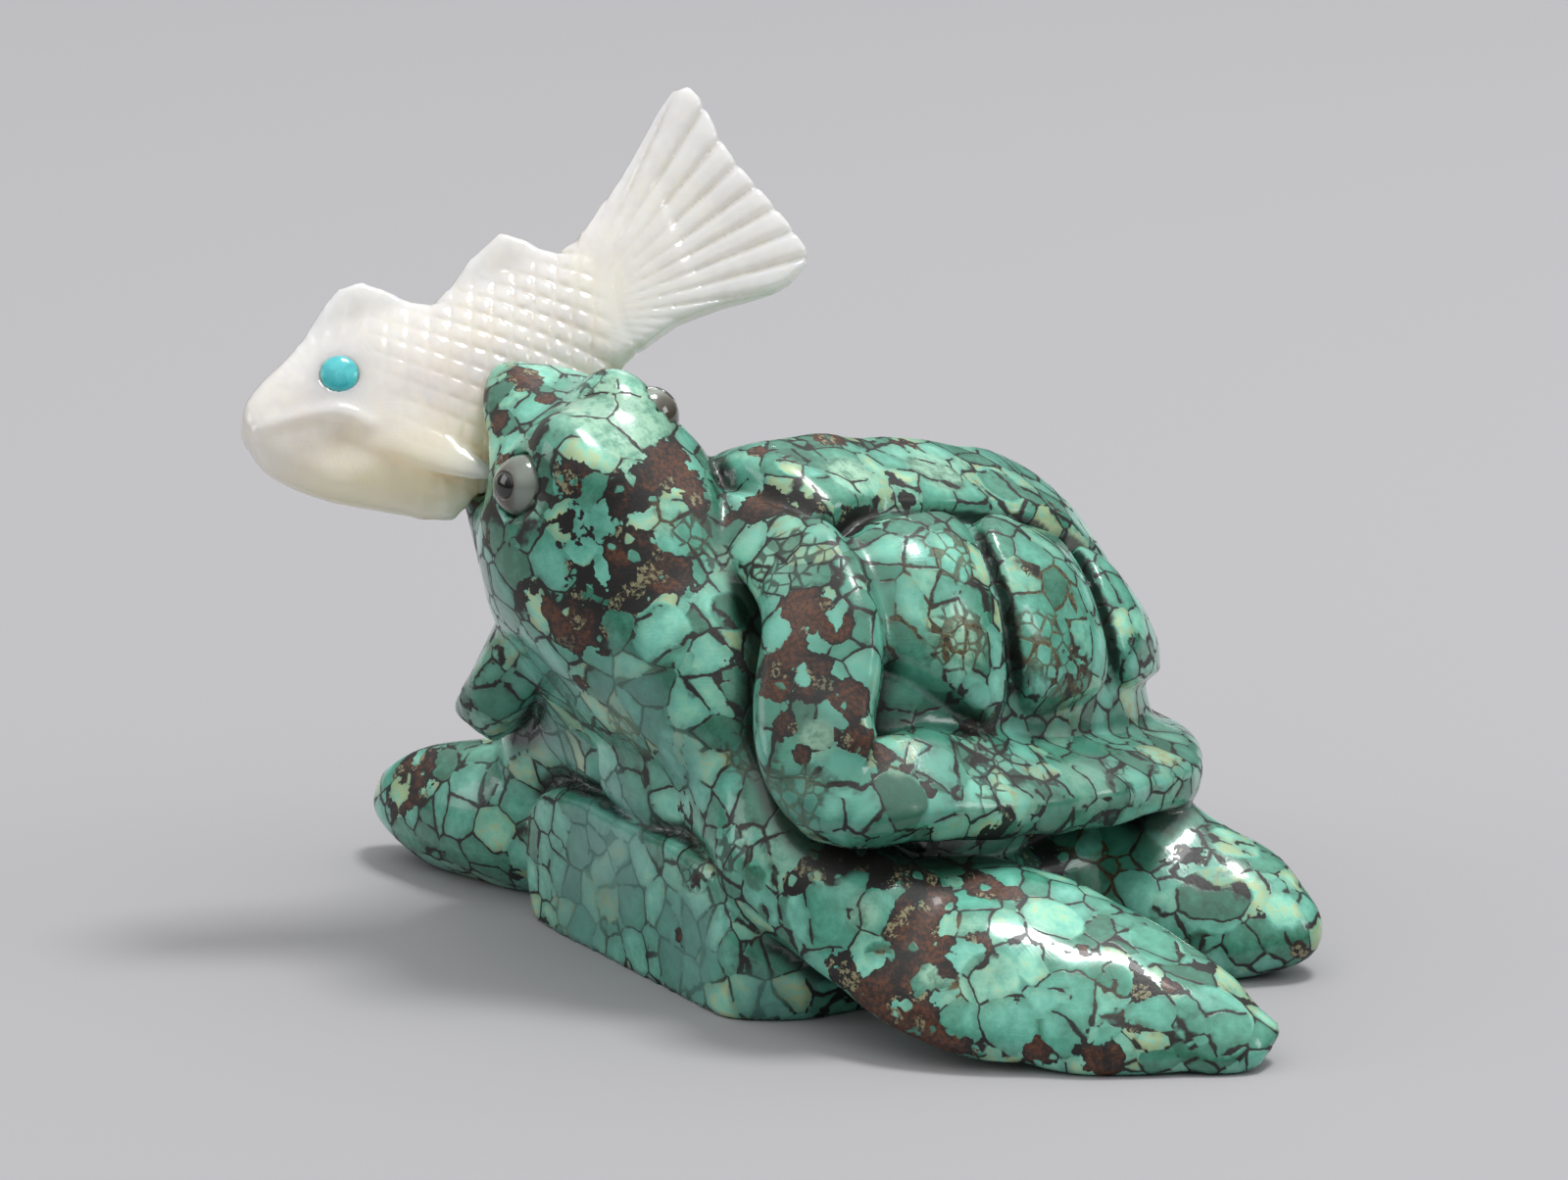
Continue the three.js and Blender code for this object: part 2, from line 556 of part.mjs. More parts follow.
// The surface where a form is at a level, with one vertex in each grid cell that it crosses
const surfaceOf = (form, level, box, cell) => {
  const low = box.min.toArray();
  const size = box.getSize(new THREE.Vector3()).toArray().map((length) => Math.ceil(length / cell) + 1);
  const [nx, ny, nz] = size;
  const values = new Float64Array(nx * ny * nz);
  const index = (i, j, k) => i + nx * (j + ny * k);
  const valueAt = (i, j, k) => form(low[0] + i * cell, low[1] + j * cell, low[2] + k * cell) - level;
  const half = (blockCells - 1) / 2;
  const reach = half * cell * Math.sqrt(3) * blockMargin;
  for (let k = 0; k < nz; k += blockCells) {
    for (let j = 0; j < ny; j += blockCells) {
      for (let i = 0; i < nx; i += blockCells) {
        const centre = valueAt(i + half, j + half, k + half);
        const near = Math.abs(centre) < reach;
        for (let c = k; c < Math.min(k + blockCells, nz); c += 1) {
          for (let b = j; b < Math.min(j + blockCells, ny); b += 1) {
            for (let a = i; a < Math.min(i + blockCells, nx); a += 1) {
              values[index(a, b, c)] = near ? valueAt(a, b, c) : centre;
            }
          }
        }
      }
    }
  }
  // Calls visit for each cell that the surface crosses, with the indices of its corners
  const steps = [1, nx, nx * ny];
  const cornerSteps = corners.map(([a, b, c]) => a * steps[0] + b * steps[1] + c * steps[2]);
  const eachCrossedCell = (visit) => {
    for (let k = 0; k + 1 < nz; k += 1) {
      for (let j = 0; j + 1 < ny; j += 1) {
        for (let i = 0; i + 1 < nx; i += 1) {
          const here = index(i, j, k);
          const within = values[here] < 0;
          if (cornerSteps.some((step) => values[here + step] < 0 !== within)) {
            visit([i, j, k], cornerSteps.map((step) => here + step));
          }
        }
      }
    }
  };
  // Where sheets would touch, the outside corner that is nearest to the surface is taken inside
  for (let filled = true; filled; ) {
    filled = false;
    eachCrossedCell((cellPlace, around) => {
      if (sheetsTouch(around.map((n) => values[n] < 0))) {
        const outside = around.filter((n) => values[n] >= 0);
        values[outside.reduce((best, n) => (values[n] < values[best] ? n : best))] = -cell / 100;
        filled = true;
      }
    });
  }
  const vertices = [];
  const vertexOfCell = new Int32Array(nx * ny * nz).fill(-1);
  eachCrossedCell((cellPlace, around) => {
    const sum = [0, 0, 0];
    let crossings = 0;
    for (let n = 0; n < 8; n += 1) {
      for (let axis = 0; axis < 3; axis += 1) {
        const m = n | (1 << axis);
        const start = values[around[n]];
        const end = values[around[m]];
        if (m !== n && start < 0 !== end < 0) {
          corners[n].forEach((value, d) => {
            sum[d] += value + (d === axis ? start / (start - end) : 0);
          });
          crossings += 1;
        }
      }
    }
    vertexOfCell[around[0]] = vertices.length;
    vertices.push(cellPlace.map((value, d) => low[d] + cell * (value + sum[d] / crossings)));
  });
  const triangles = [];
  for (let k = 1; k + 1 < nz; k += 1) {
    for (let j = 1; j + 1 < ny; j += 1) {
      for (let i = 1; i + 1 < nx; i += 1) {
        const here = index(i, j, k);
        for (let axis = 0; axis < 3; axis += 1) {
          if (values[here] < 0 === values[here + steps[axis]] < 0) {
            continue;
          }
          const u = steps[(axis + 1) % 3];
          const v = steps[(axis + 2) % 3];
          const quad = [here - u - v, here - v, here, here - u].map((n) => vertexOfCell[n]);
          if (values[here] >= 0) {
            quad.reverse();
          }
          triangles.push([quad[0], quad[1], quad[2]], [quad[0], quad[2], quad[3]]);
        }
      }
    }
  }
  return { vertices: onSurface(vertices, form, level, cell), triangles };
};

// Moves vertices along the form's slope until they lie on its surface
const onSurface = (vertices, form, level, cell) => {
  const step = cell / 30;
  const furthest = cell / 4;
  const rounds = 2;
  return vertices.map((start) => {
    let [x, y, z] = start;
    for (let round = 0; round < rounds; round += 1) {
      const value = form(x, y, z);
      const gx = (form(x + step, y, z) - value) / step;
      const gy = (form(x, y + step, z) - value) / step;
      const gz = (form(x, y, z + step) - value) / step;
      const steepness = Math.max(gx * gx + gy * gy + gz * gz, 0.2);
      const move = clamp((value - level) / steepness, -furthest, furthest);
      x -= gx * move;
      y -= gy * move;
      z -= gz * move;
    }
    return [x, y, z];
  });
};

// Joins neighbouring vertices of a closed mesh, those that change its shape least first,
// until it has a number of triangles
const simplified = ({ vertices, triangles }, target) => {
  const places = vertices.map((vertex) => [...vertex]);
  const faces = triangles.map((triangle) => [...triangle]);
  const facesOf = places.map(() => new Set());
  faces.forEach((face, f) => face.forEach((v) => facesOf[v].add(f)));
  const normalOf = ([a, b, c]) => {
    const u = [b[0] - a[0], b[1] - a[1], b[2] - a[2]];
    const v = [c[0] - a[0], c[1] - a[1], c[2] - a[2]];
    return [u[1] * v[2] - u[2] * v[1], u[2] * v[0] - u[0] * v[2], u[0] * v[1] - u[1] * v[0]];
  };
  // Each vertex keeps the sum of the squared distances to the planes around it, as ten numbers
  const errors = places.map(() => new Float64Array(10));
  for (const face of faces) {
    const corners = face.map((v) => places[v]);
    const normal = normalOf(corners);
    const size = Math.max(lengthOf(...normal), 1e-12);
    const [a, b, c] = normal.map((value) => value / size);
    const d = -(a * corners[0][0] + b * corners[0][1] + c * corners[0][2]);
    const plane = [a * a, a * b, a * c, a * d, b * b, b * c, b * d, c * c, c * d, d * d];
    for (const v of face) {
      plane.forEach((value, n) => {
        errors[v][n] += value * size;
      });
    }
  }
  const errorAt = (q, [x, y, z]) =>
    q[0] * x * x + 2 * q[1] * x * y + 2 * q[2] * x * z + 2 * q[3] * x + q[4] * y * y +
    2 * q[5] * y * z + 2 * q[6] * y + q[7] * z * z + 2 * q[8] * z + q[9];
  const bestPlace = (q, start, end) => {
    const middle = start.map((value, n) => (value + end[n]) / 2);
    const m = new THREE.Matrix3().set(q[0], q[1], q[2], q[1], q[4], q[5], q[2], q[5], q[7]);
    const reach = lengthOf(start[0] - end[0], start[1] - end[1], start[2] - end[2]);
    if (Math.abs(m.determinant()) > 1e-9 * (q[0] + q[4] + q[7]) ** 3) {
      const solved = new THREE.Vector3(-q[3], -q[6], -q[8]).applyMatrix3(m.invert()).toArray();
      if (lengthOf(solved[0] - middle[0], solved[1] - middle[1], solved[2] - middle[2]) < reach) {
        return solved;
      }
    }
    const better = (best, place) => (errorAt(q, place) < errorAt(q, best) ? place : best);
    return [start, end, middle].reduce(better);
  };
  // A heap of the edges that could be joined, cheapest first
  const heap = [];
  const swap = (i, j) => {
    [heap[i], heap[j]] = [heap[j], heap[i]];
  };
  const push = (entry) => {
    heap.push(entry);
    for (let i = heap.length - 1; i > 0; ) {
      const parent = (i - 1) >> 1;
      if (heap[parent].cost <= heap[i].cost) {
        break;
      }
      swap(i, parent);
      i = parent;
    }
  };
  const pop = () => {
    const top = heap[0];
    const last = heap.pop();
    if (heap.length > 0) {
      heap[0] = last;
      for (let i = 0; ; ) {
        let least = i;
        for (const child of [2 * i + 1, 2 * i + 2]) {
          if (child < heap.length && heap[child].cost < heap[least].cost) {
            least = child;
          }
        }
        if (least === i) {
          break;
        }
        swap(i, least);
        i = least;
      }
    }
    return top;
  };
  const changes = new Int32Array(places.length);
  const offer = (start, end) => {
    const sum = errors[start].map((value, n) => value + errors[end][n]);
    const place = bestPlace(sum, places[start], places[end]);
    const spread = lengthOf(
      places[start][0] - places[end][0], places[start][1] - places[end][1], places[start][2] - places[end][2],
    );
    const cost = errorAt(sum, place) + 1e-5 * spread * spread;
    push({ cost, start, end, place, stamp: changes[start] + changes[end] });
  };
  const neighboursOf = (v) => {
    const around = new Set([...facesOf[v]].flatMap((f) => faces[f]));
    around.delete(v);
    return around;
  };
  const staysUpright = (v, other, place) => [...facesOf[v]].every((f) => {
    if (faces[f].includes(other)) {
      return true;
    }
    const before = normalOf(faces[f].map((n) => places[n]));
    const after = normalOf(faces[f].map((n) => (n === v ? place : places[n])));
    const dot = before[0] * after[0] + before[1] * after[1] + before[2] * after[2];
    return dot > 0.25 * lengthOf(...before) * lengthOf(...after) && lengthOf(...after) > 1e-4;
  });
  places.forEach((_, v) => neighboursOf(v).forEach((other) => v < other && offer(v, other)));
  let count = faces.length;
  while (count > target && heap.length > 0) {
    const { start, end, place, stamp } = pop();
    if (facesOf[start].size === 0 || facesOf[end].size === 0 || stamp !== changes[start] + changes[end]) {
      continue;
    }
    const around = neighboursOf(end);
    const shared = [...neighboursOf(start)].filter((v) => around.has(v));
    if (!around.has(start) || shared.length !== 2) {
      continue;
    }
    if (!staysUpright(start, end, place) || !staysUpright(end, start, place)) {
      continue;
    }
    for (const f of facesOf[end]) {
      if (faces[f].includes(start)) {
        faces[f].forEach((v) => v !== end && facesOf[v].delete(f));
        faces[f] = null;
        count -= 1;
      } else {
        faces[f] = faces[f].map((v) => (v === end ? start : v));
        facesOf[start].add(f);
      }
    }
    facesOf[end] = new Set();
    places[start] = place;
    errors[start] = errors[start].map((value, n) => value + errors[end][n]);
    changes[start] += 1;
    changes[end] += 1;
    neighboursOf(start).forEach((v) => {
      changes[v] += 1;
    });
    neighboursOf(start).forEach((v) => {
      neighboursOf(v).forEach((other) => offer(v, other));
    });
  }
  const kept = faces.filter((face) => face !== null);
  const used = [...new Set(kept.flat())];
  const renumbered = new Map(used.map((v, n) => [v, n]));
  return {
    vertices: used.map((v) => places[v]),
    triangles: kept.map((face) => face.map((v) => renumbered.get(v))),
  };
};

const wasm = await Module();
wasm.setup();

const solid = (places, rings) => new wasm.Manifold(
  new wasm.Mesh({ numProp: 3, vertProperties: Float32Array.from(places), triVerts: Uint32Array.from(rings) }),
);

// The largest of the bodies that a cut leaves; the others are crumbs
const larger = (best, body) => (body.volume() > best.volume() ? body : best);
const largest = (shape) => shape.decompose().reduce(larger);

// A form's surface at a level as a solid with about so many triangles
const carved = (form, level, box, cell, target) => {
  const { vertices, triangles } = simplified(surfaceOf(form, level, box, cell), target);
  return solid(vertices.flat(), triangles.flat());
};

// A three.js geometry as a solid, turned so that its Y axis points along a direction, and placed
const placed = (geometry, direction, place) => {
  geometry.deleteAttribute("normal");
  geometry.deleteAttribute("uv");
  const turn = new THREE.Quaternion().setFromUnitVectors(new THREE.Vector3(0, 1, 0), direction);
  geometry.applyQuaternion(turn).translate(...place);
  const merged = mergeVertices(geometry, 1e-5);
  return solid(merged.attributes.position.array, merged.index.array);
};

const roundSides = 14;
const roundRings = 10;
const egg = (diameter, length, direction, place) => placed(
  new THREE.SphereGeometry(0.5, roundSides, roundRings).scale(diameter, length, diameter), direction, place,
);
const peg = (diameter, length, direction, place) => placed(
  new THREE.CylinderGeometry(diameter / 2, diameter / 2, length, roundSides), direction, place,
);

// A low dome on a round peg, whose foot is a depth below the place
const dotCrown = 0.18; // height of the dome as a share of the diameter
const crownSteps = 4;
const button = (diameter, depth, direction, place) => {
  const crown = [];
  for (let n = 0; n <= crownSteps; n += 1) {
    const angle = (n / crownSteps) * (Math.PI / 2);
    crown.push(new THREE.Vector2(Math.cos(angle) * diameter / 2, Math.sin(angle) * dotCrown * diameter));
  }
  crown[crownSteps].x = 0;
  const profile = [new THREE.Vector2(0, -depth), new THREE.Vector2(diameter / 2, -depth), ...crown];
  return placed(new THREE.LatheGeometry(profile, roundSides), direction, place);
};

const scaled = (place, unit) => place.map((value) => value * unit);
const boxOf = (low, high, unit) => new THREE.Box3(
  new THREE.Vector3(...scaled(low, unit)), new THREE.Vector3(...scaled(high, unit)),
);

// The fish and the dots in its head
const turtleLow = [-31, -18, -5]; // a box around the whole turtle, before it is cut flat below
const turtleHigh = [31, 24, 30];
const turtleBox = boxOf(turtleLow, turtleHigh, turtleUnit);
// From the middle of the fish to the sides of a box around it
const fishReach = scaled([8.5, 14.5, 11], fishUnit);
const fishMiddle = fishPose.at(...scaled([-2.3, 0, 4.6], fishUnit));
const fishBox = new THREE.Box3(
  new THREE.Vector3(...fishMiddle.map((value, n) => value - fishReach[n])),
  new THREE.Vector3(...fishMiddle.map((value, n) => value + fishReach[n])),
);
const wholeFish = carved(fishForm, 0, fishBox, fishCell * fishUnit, fishTriangles);
const fishEyePlace = { back: -7.3, up: 4.9, share: 0.84 };
const fishDots = [1, -1].map((facing) => {
  const direction = fishPose.side.clone().multiplyScalar(facing);
  const place = fishPose.at(
    -fishEyePlace.back * fishUnit,
    facing * fishEyePlace.share * (fishThickness / 2),
    fishEyePlace.up * fishUnit,
  );
  return {
    dot: button(fishEyeDiameter, fishEyeLength, direction, place),
    socket: button(fishEyeDiameter + 2 * inlayClearance, fishEyeLength + inlayClearance, direction, place),
  };
});
const fish = fishDots.reduce((left, { socket }) => left.subtract(socket), wholeFish);
const fishSeat = carved(fishForm, seatClearance, fishBox, seatCell * fishUnit, seatTriangles);

// The turtle's eyes: a bead that looks out and up on each side, with a pupil let into its end flush
const eyePlaces = [[-0.25, 2.6, -0.15], [0.3, -4.0, -0.7]]; // the right and the left bead in the head
const eyeLook = { ahead: 0.17, side: 0.86, up: 0.48 };
const eyes = eyePlaces.map(([ahead, side, up]) => {
  const look = headForward
    .clone()
    .multiplyScalar(eyeLook.ahead)
    .addScaledVector(head.side, Math.sign(side) * eyeLook.side)
    .addScaledVector(head.up, eyeLook.up)
    .normalize();
  const place = scaled(head.at(ahead, side, up), turtleUnit);
  const bead = egg(eyeBeadDiameter, eyeBeadLength, look, place);
  const end = new THREE.Vector3(...place).addScaledVector(look, eyeBeadLength / 2).toArray();
  const gap = 2 * inlayClearance;
  return {
    bead: bead.subtract(peg(eyePupilDiameter + gap, 2 * eyePupilLength + gap, look, end)),
    pupil: bead.intersect(peg(eyePupilDiameter, 2 * eyePupilLength, look, end)),
    socket: egg(eyeBeadDiameter + gap, eyeBeadLength + gap, look, place),
  };
});

// The turtle, cut flat where it stands, with its eye sockets and the mouth that fits the fish
const ground = placed(
  new THREE.BoxGeometry(4 * turtleLength, turtleLength, 4 * turtleLength),
  new THREE.Vector3(0, 0, 1),
  [0, 0, -turtleLength / 2],
);
const turtleSurface = (x, y, z) => turtleUnit * turtleForm(x / turtleUnit, y / turtleUnit, z / turtleUnit);
const turtleCutters = [ground, fishSeat, ...eyes.map(({ socket }) => socket)];
const turtle = largest(turtleCutters.reduce(
  (left, cutter) => left.subtract(cutter),
  carved(turtleSurface, 0, turtleBox, turtleCell * turtleUnit, turtleTriangles),
));

const finishes = {
  turquoise: { color: 0x4fab98, roughness: 0.28, metalness: 0 },
  eyeBead: { color: 0x8d9a94, roughness: 0.12, metalness: 0 },
  pupil: { color: 0x14110f, roughness: 0.15, metalness: 0 },
  pearl: { color: 0xe9e3d8, roughness: 0.16, metalness: 0 },
  blueDot: { color: 0x35b3bf, roughness: 0.2, metalness: 0 },
};

const piece = (name, shape, finish) => {
  const { numProp, vertProperties, triVerts } = shape.getMesh();
  const geometry = new THREE.BufferGeometry();
  const buffer = new THREE.InterleavedBuffer(vertProperties, numProp);
  geometry.setAttribute("position", new THREE.InterleavedBufferAttribute(buffer, 3, 0));
  geometry.setIndex(Array.from(triVerts));
  geometry.computeVertexNormals();
  const mesh = new THREE.Mesh(geometry, new THREE.MeshStandardMaterial(finish));
  mesh.name = name;
  return mesh;
};

const carving = new THREE.Group();
carving.add(
  piece("turtle", turtle, finishes.turquoise),
  piece("turtle_eye_right", eyes[0].bead, finishes.eyeBead),
  piece("turtle_eye_left", eyes[1].bead, finishes.eyeBead),
  piece("turtle_pupil_right", eyes[0].pupil, finishes.pupil),
  piece("turtle_pupil_left", eyes[1].pupil, finishes.pupil),
  piece("fish", fish, finishes.pearl),
  piece("fish_eye_right", fishDots[0].dot, finishes.blueDot),
  piece("fish_eye_left", fishDots[1].dot, finishes.blueDot),
);

export default carving;
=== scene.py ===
"""A carved sea turtle in spiderweb turquoise with a mother-of-pearl fish held crosswise in its beak.

Both animals are carved here at a fine scale from the rounded masses that the solid model has, with the
scales, fin rays and tool work that are too fine for it, and are dressed in procedural stone and shell.
Sizes are in millimetres in the turtle's own frame: it faces -Y, its left side is +X, and it stands on
the ground at Z = 0. Meshes are in metres.
"""
import json
import logging
import math
from dataclasses import dataclass, field
from enum import Enum
from typing import Callable, Sequence

import bpy
import numpy as np
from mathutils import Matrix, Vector

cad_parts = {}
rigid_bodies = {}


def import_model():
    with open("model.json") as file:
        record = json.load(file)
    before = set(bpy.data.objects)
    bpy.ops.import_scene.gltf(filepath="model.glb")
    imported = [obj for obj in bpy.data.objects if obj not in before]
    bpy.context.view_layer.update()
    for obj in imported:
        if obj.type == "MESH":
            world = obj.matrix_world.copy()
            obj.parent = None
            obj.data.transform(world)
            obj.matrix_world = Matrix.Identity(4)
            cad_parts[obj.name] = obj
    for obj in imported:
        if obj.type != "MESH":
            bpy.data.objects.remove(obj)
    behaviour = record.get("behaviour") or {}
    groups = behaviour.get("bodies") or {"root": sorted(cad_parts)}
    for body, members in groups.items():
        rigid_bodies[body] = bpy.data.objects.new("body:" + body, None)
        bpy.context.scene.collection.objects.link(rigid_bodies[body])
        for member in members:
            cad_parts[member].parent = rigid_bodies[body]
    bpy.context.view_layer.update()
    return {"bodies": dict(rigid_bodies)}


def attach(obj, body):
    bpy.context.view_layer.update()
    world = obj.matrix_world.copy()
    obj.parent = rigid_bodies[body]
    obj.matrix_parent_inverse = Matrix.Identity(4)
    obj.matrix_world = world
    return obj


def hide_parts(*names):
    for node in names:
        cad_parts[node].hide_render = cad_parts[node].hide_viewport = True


Array = np.ndarray
Triple = tuple[float, float, float]
Rows = Sequence[Sequence[float]]
Distance = Callable[[Array], Array]

MM = 0.001  # metres in a millimetre
FAR_AWAY = 2.5  # further than this from a form, a rough distance is enough
TINY = 1e-6  # keeps a division from meeting zero
LEAST_SLOPE = 0.1  # a flatter slope than this counts as this steep
WAVE_COUNT = 7  # plain waves that make up an uneven field
WAVE_SPREAD = (0.75, 1.5)  # their lengths, as shares of the asked one
LOG = logging.getLogger("carving")


class Side(Enum):
    """The two sides of an animal, as the sign of the direction to that side in its own pose."""

    RIGHT = 1
    LEFT = -1


class Slot(Enum):
    """The material slots of the record."""

    TURQUOISE = "turquoise"
    EYE_SHELL = "eye_shell"
    PUPIL_JET = "pupil_jet"
    PEARL = "pearl"
    BLUE_DOT = "blue_dot"


class Mask(Enum):
    """Values that a carved mesh carries at its points for its material."""

    MATRIX = "matrix"
    RUST = "rust"
    BLUE = "blue"
    PALE = "pale"
    OCHRE = "ochre"
    COARSE = "coarse"
    FINE = "fine"
    CREASE = "crease"


PATTERN = tuple(mask for mask in Mask if mask is not Mask.CREASE)


# Directions, lines and blends


def unit(vector: Sequence[float]) -> Array:
    """The vector at length one."""
    array = np.asarray(vector, float)
    return array / np.linalg.norm(array)


def turned(vector: Array, axis: Array, angle: float) -> Array:
    """Turns a vector about an axis.

    Args:
        vector: What is turned.
        axis: A direction of length one.
        angle: Degrees.

    Returns:
        The turned vector.
    """
    cosine, sine = math.cos(math.radians(angle)), math.sin(math.radians(angle))
    return vector * cosine + np.cross(axis, vector) * sine + axis * (axis @ vector) * (1 - cosine)


def mirrored(rows: Rows) -> list[tuple[float, ...]]:
    """The rows with their first number, x, on the other side."""
    return [(-row[0], *row[1:]) for row in rows]


def smooth_union(a: Array, b: Array, blend: float) -> Array:
    """Joins two signed distances, with the crease between them filled over a width."""
    overlap = np.maximum(blend - np.abs(a - b), 0) / blend
    return np.minimum(a, b) - overlap * overlap * blend / 4


def smooth_common(a: Array, b: Array, blend: float) -> Array:
    """What two signed distances have in common, with its edge rounded over a width."""
    return -smooth_union(-a, -b, blend)


def carved_union(a: Array, b: Array, depth: float | Array, width: float) -> Array:
    """Joins two signed distances and cuts a groove of a depth and width where they meet."""
    return np.minimum(a, b) + depth * bell(a - b, width)


def smooth_step(value: Array, low: float | Array, high: float | Array) -> Array:
    """Rises softly from 0 at low to 1 at high."""
    share = np.clip((value - low) / (high - low), 0, 1)
    return share * share * (3 - 2 * share)


def bell(value: Array, width: float) -> Array:
    """A soft bump, 1 where the value is 0 and nearly 0 past twice the width."""
    return np.exp(-((value / width) ** 2))


def smooth_line(rows: Rows, steps: int, closed: bool = False) -> Array:
    """Points on a smooth line through rows of numbers.

    Args:
        rows: The points that it goes through.
        steps: Points for each row.
        closed: Whether the line comes back to its start.

    Returns:
        The points, one a row.
    """
    knots = np.asarray(rows, float)
    count = len(knots)
    spans = count if closed else count - 1

    def knot(i: int) -> Array:
        return knots[i % count] if closed else knots[min(max(i, 0), count - 1)]

    line = []
    for i in range(spans):
        before, start, end, after = (knot(i + k) for k in (-1, 0, 1, 2))
        leaving, arriving = (end - before) / 2, (after - start) / 2
        for s in np.arange(steps) / steps:
            line.append(
                (2 * s**3 - 3 * s**2 + 1) * start + (s**3 - 2 * s**2 + s) * leaving
                + (3 * s**2 - 2 * s**3) * end + (s**3 - s**2) * arriving
            )
    line.append(knot(0) if closed else knots[-1])
    return np.array(line)


def line_distance(line: Array, u: Array, v: Array) -> tuple[Array, Array]:
    """How far points in a plane are from a line.

    Args:
        line: Points of the line, one a row, in the plane.
        u: The first coordinate of each point.
        v: The second one.

    Returns:
        The distance to the line and how far along it the nearest point is, from 0 to 1.
    """
    nearest = np.full(u.shape, np.inf)
    place = np.zeros(u.shape)
    spans = len(line) - 1
    for i, (start, end) in enumerate(zip(line[:-1], line[1:])):
        along = end - start
        share = np.clip(((u - start[0]) * along[0] + (v - start[1]) * along[1]) / (along @ along), 0, 1)
        distance = np.hypot(u - start[0] - along[0] * share, v - start[1] - along[1] * share)
        closer = distance < nearest
        nearest[closer] = distance[closer]
        place[closer] = (i + share[closer]) / spans
    return nearest, place


def outline_distance(outline: Array, u: Array, v: Array) -> Array:
    """Signed distance in a plane to a closed outline, negative inside."""
    ring = np.vstack([outline, outline[:1]])
    nearest, _ = line_distance(ring, u, v)
    inside = np.zeros(u.shape, bool)
    for (ax, ay), (bx, by) in zip(ring[:-1], ring[1:]):
        if ay != by:
            inside ^= ((ay > v) != (by > v)) & (u < (bx - ax) * (v - ay) / (by - ay) + ax)
    return np.where(inside, -nearest, nearest)


def waves(points: Array, length: float, seed: int) -> Array:
    """A smooth uneven field between about -1 and 1, such as hand polishing leaves.

    Args:
        points: Where it is wanted, one point a row.
        length: About how far apart its crests are.
        seed: Which of the many such fields.

    Returns:
        A value for each point.
    """
    random = np.random.default_rng(seed)
    total = np.zeros(len(points))
    for _ in range(WAVE_COUNT):
        direction = unit(random.normal(size=3)) * 2 * math.pi / (length * random.uniform(*WAVE_SPREAD))
        total += np.sin(points @ direction + random.uniform(0, 2 * math.pi))
    return total / math.sqrt(WAVE_COUNT)


@dataclass
class Pose:
    """A place with three axes: forward, to its side and up.

    The side is forward crossed with up, so it is to the right of an animal that faces forward.
    """

    origin: Sequence[float]
    forward: Sequence[float]
    up: Sequence[float] = (0.0, 0.0, 1.0)

    def __post_init__(self) -> None:
        """Makes the axes square to each other."""
        ahead = unit(self.forward)
        side = unit(np.cross(ahead, np.asarray(self.up, float)))
        self.axes = np.array([ahead, side, np.cross(side, ahead)])

    def at(self, forward: float, side: float, up: float) -> Array:
        """The point that lies so far forward, to the side and up."""
        return np.asarray(self.origin, float) + np.array([forward, side, up]) @ self.axes

    def local(self, points: Array) -> Array:
        """World points as rows of forward, side and up."""
        return (points - np.asarray(self.origin, float)) @ self.axes.T


# Rounded masses as signed distances


ROUND: Triple = (2.0, 2.0, 2.0)


@dataclass
class Lump:
    """A rounded mass that reaches differently far each way.

    A power of 2 is round, more is boxy and less is pointed.
    """

    pose: Pose
    ahead: float
    behind: float
    side: float
    above: float
    below: float
    powers: Triple = ROUND

    def distance(self, points: Array) -> Array:
        """Signed distance, rough where it is large.

        Args:
            points: World points, one a row.

        Returns:
            A distance for each point.
        """
        forward, across, up = self.pose.local(points).T
        reach_along = np.where(forward > 0, self.ahead, self.behind)
        reach_up = np.where(up > 0, self.above, self.below)
        forward, across, up = np.abs(forward), np.abs(across), np.abs(up)
        result = np.maximum(np.maximum(forward - reach_along, across - self.side), up - reach_up)
        near = result <= FAR_AWAY
        along, reach, lift = forward[near], reach_along[near], reach_up[near]
        a, b, c = along / reach, across[near] / self.side, up[near] / lift
        p, q, r = self.powers
        rise = [a ** (p - 1), b ** (q - 1), c ** (r - 1)]
        level = rise[0] * a + rise[1] * b + rise[2] * c
        slopes = p * rise[0] / reach, q * rise[1] / self.side, r * rise[2] / lift
        slope = np.sqrt(slopes[0] ** 2 + slopes[1] ** 2 + slopes[2] ** 2)
        inner = (np.sqrt(level) - 1) * np.minimum(np.minimum(reach, self.side), lift)
        result[near] = np.where(level < 1, inner, (level - 1) / np.maximum(slope, TINY))
        return result


@dataclass
class Limb:
    """A round limb through rows of x, y, z and radius, rounded over a width where it bends."""

    rows: Rows
    soft: float = 0.35

    def distance(self, points: Array) -> Array:
        """Signed distance, rough where it is large.

        Args:
            points: World points, one a row.

        Returns:
            A distance for each point.
        """
        rows = np.asarray(self.rows, float)
        widest = rows[:, 3].max()
        low, high = rows[:, :3].min(0) - widest, rows[:, :3].max(0) + widest
        result = np.maximum(low - points, points - high).max(1)
        near = result <= FAR_AWAY
        close = points[near]
        gaps, axis_rows = [], []
        for start, end in zip(rows[:-1], rows[1:]):
            along = end[:3] - start[:3]
            share = np.clip((close - start[:3]) @ along / (along @ along), 0, 1)
            axis_rows.append(start + share[:, None] * (end - start))
            gaps.append(np.linalg.norm(close - axis_rows[-1][:, :3], axis=1) - axis_rows[-1][:, 3])
        weights = np.exp((np.min(gaps, axis=0) - gaps) / self.soft)
        nearest = np.einsum("nk,nkc->kc", weights / weights.sum(0), np.array(axis_rows))
        result[near] = np.linalg.norm(close - nearest[:, :3], axis=1) - nearest[:, 3]
        return result


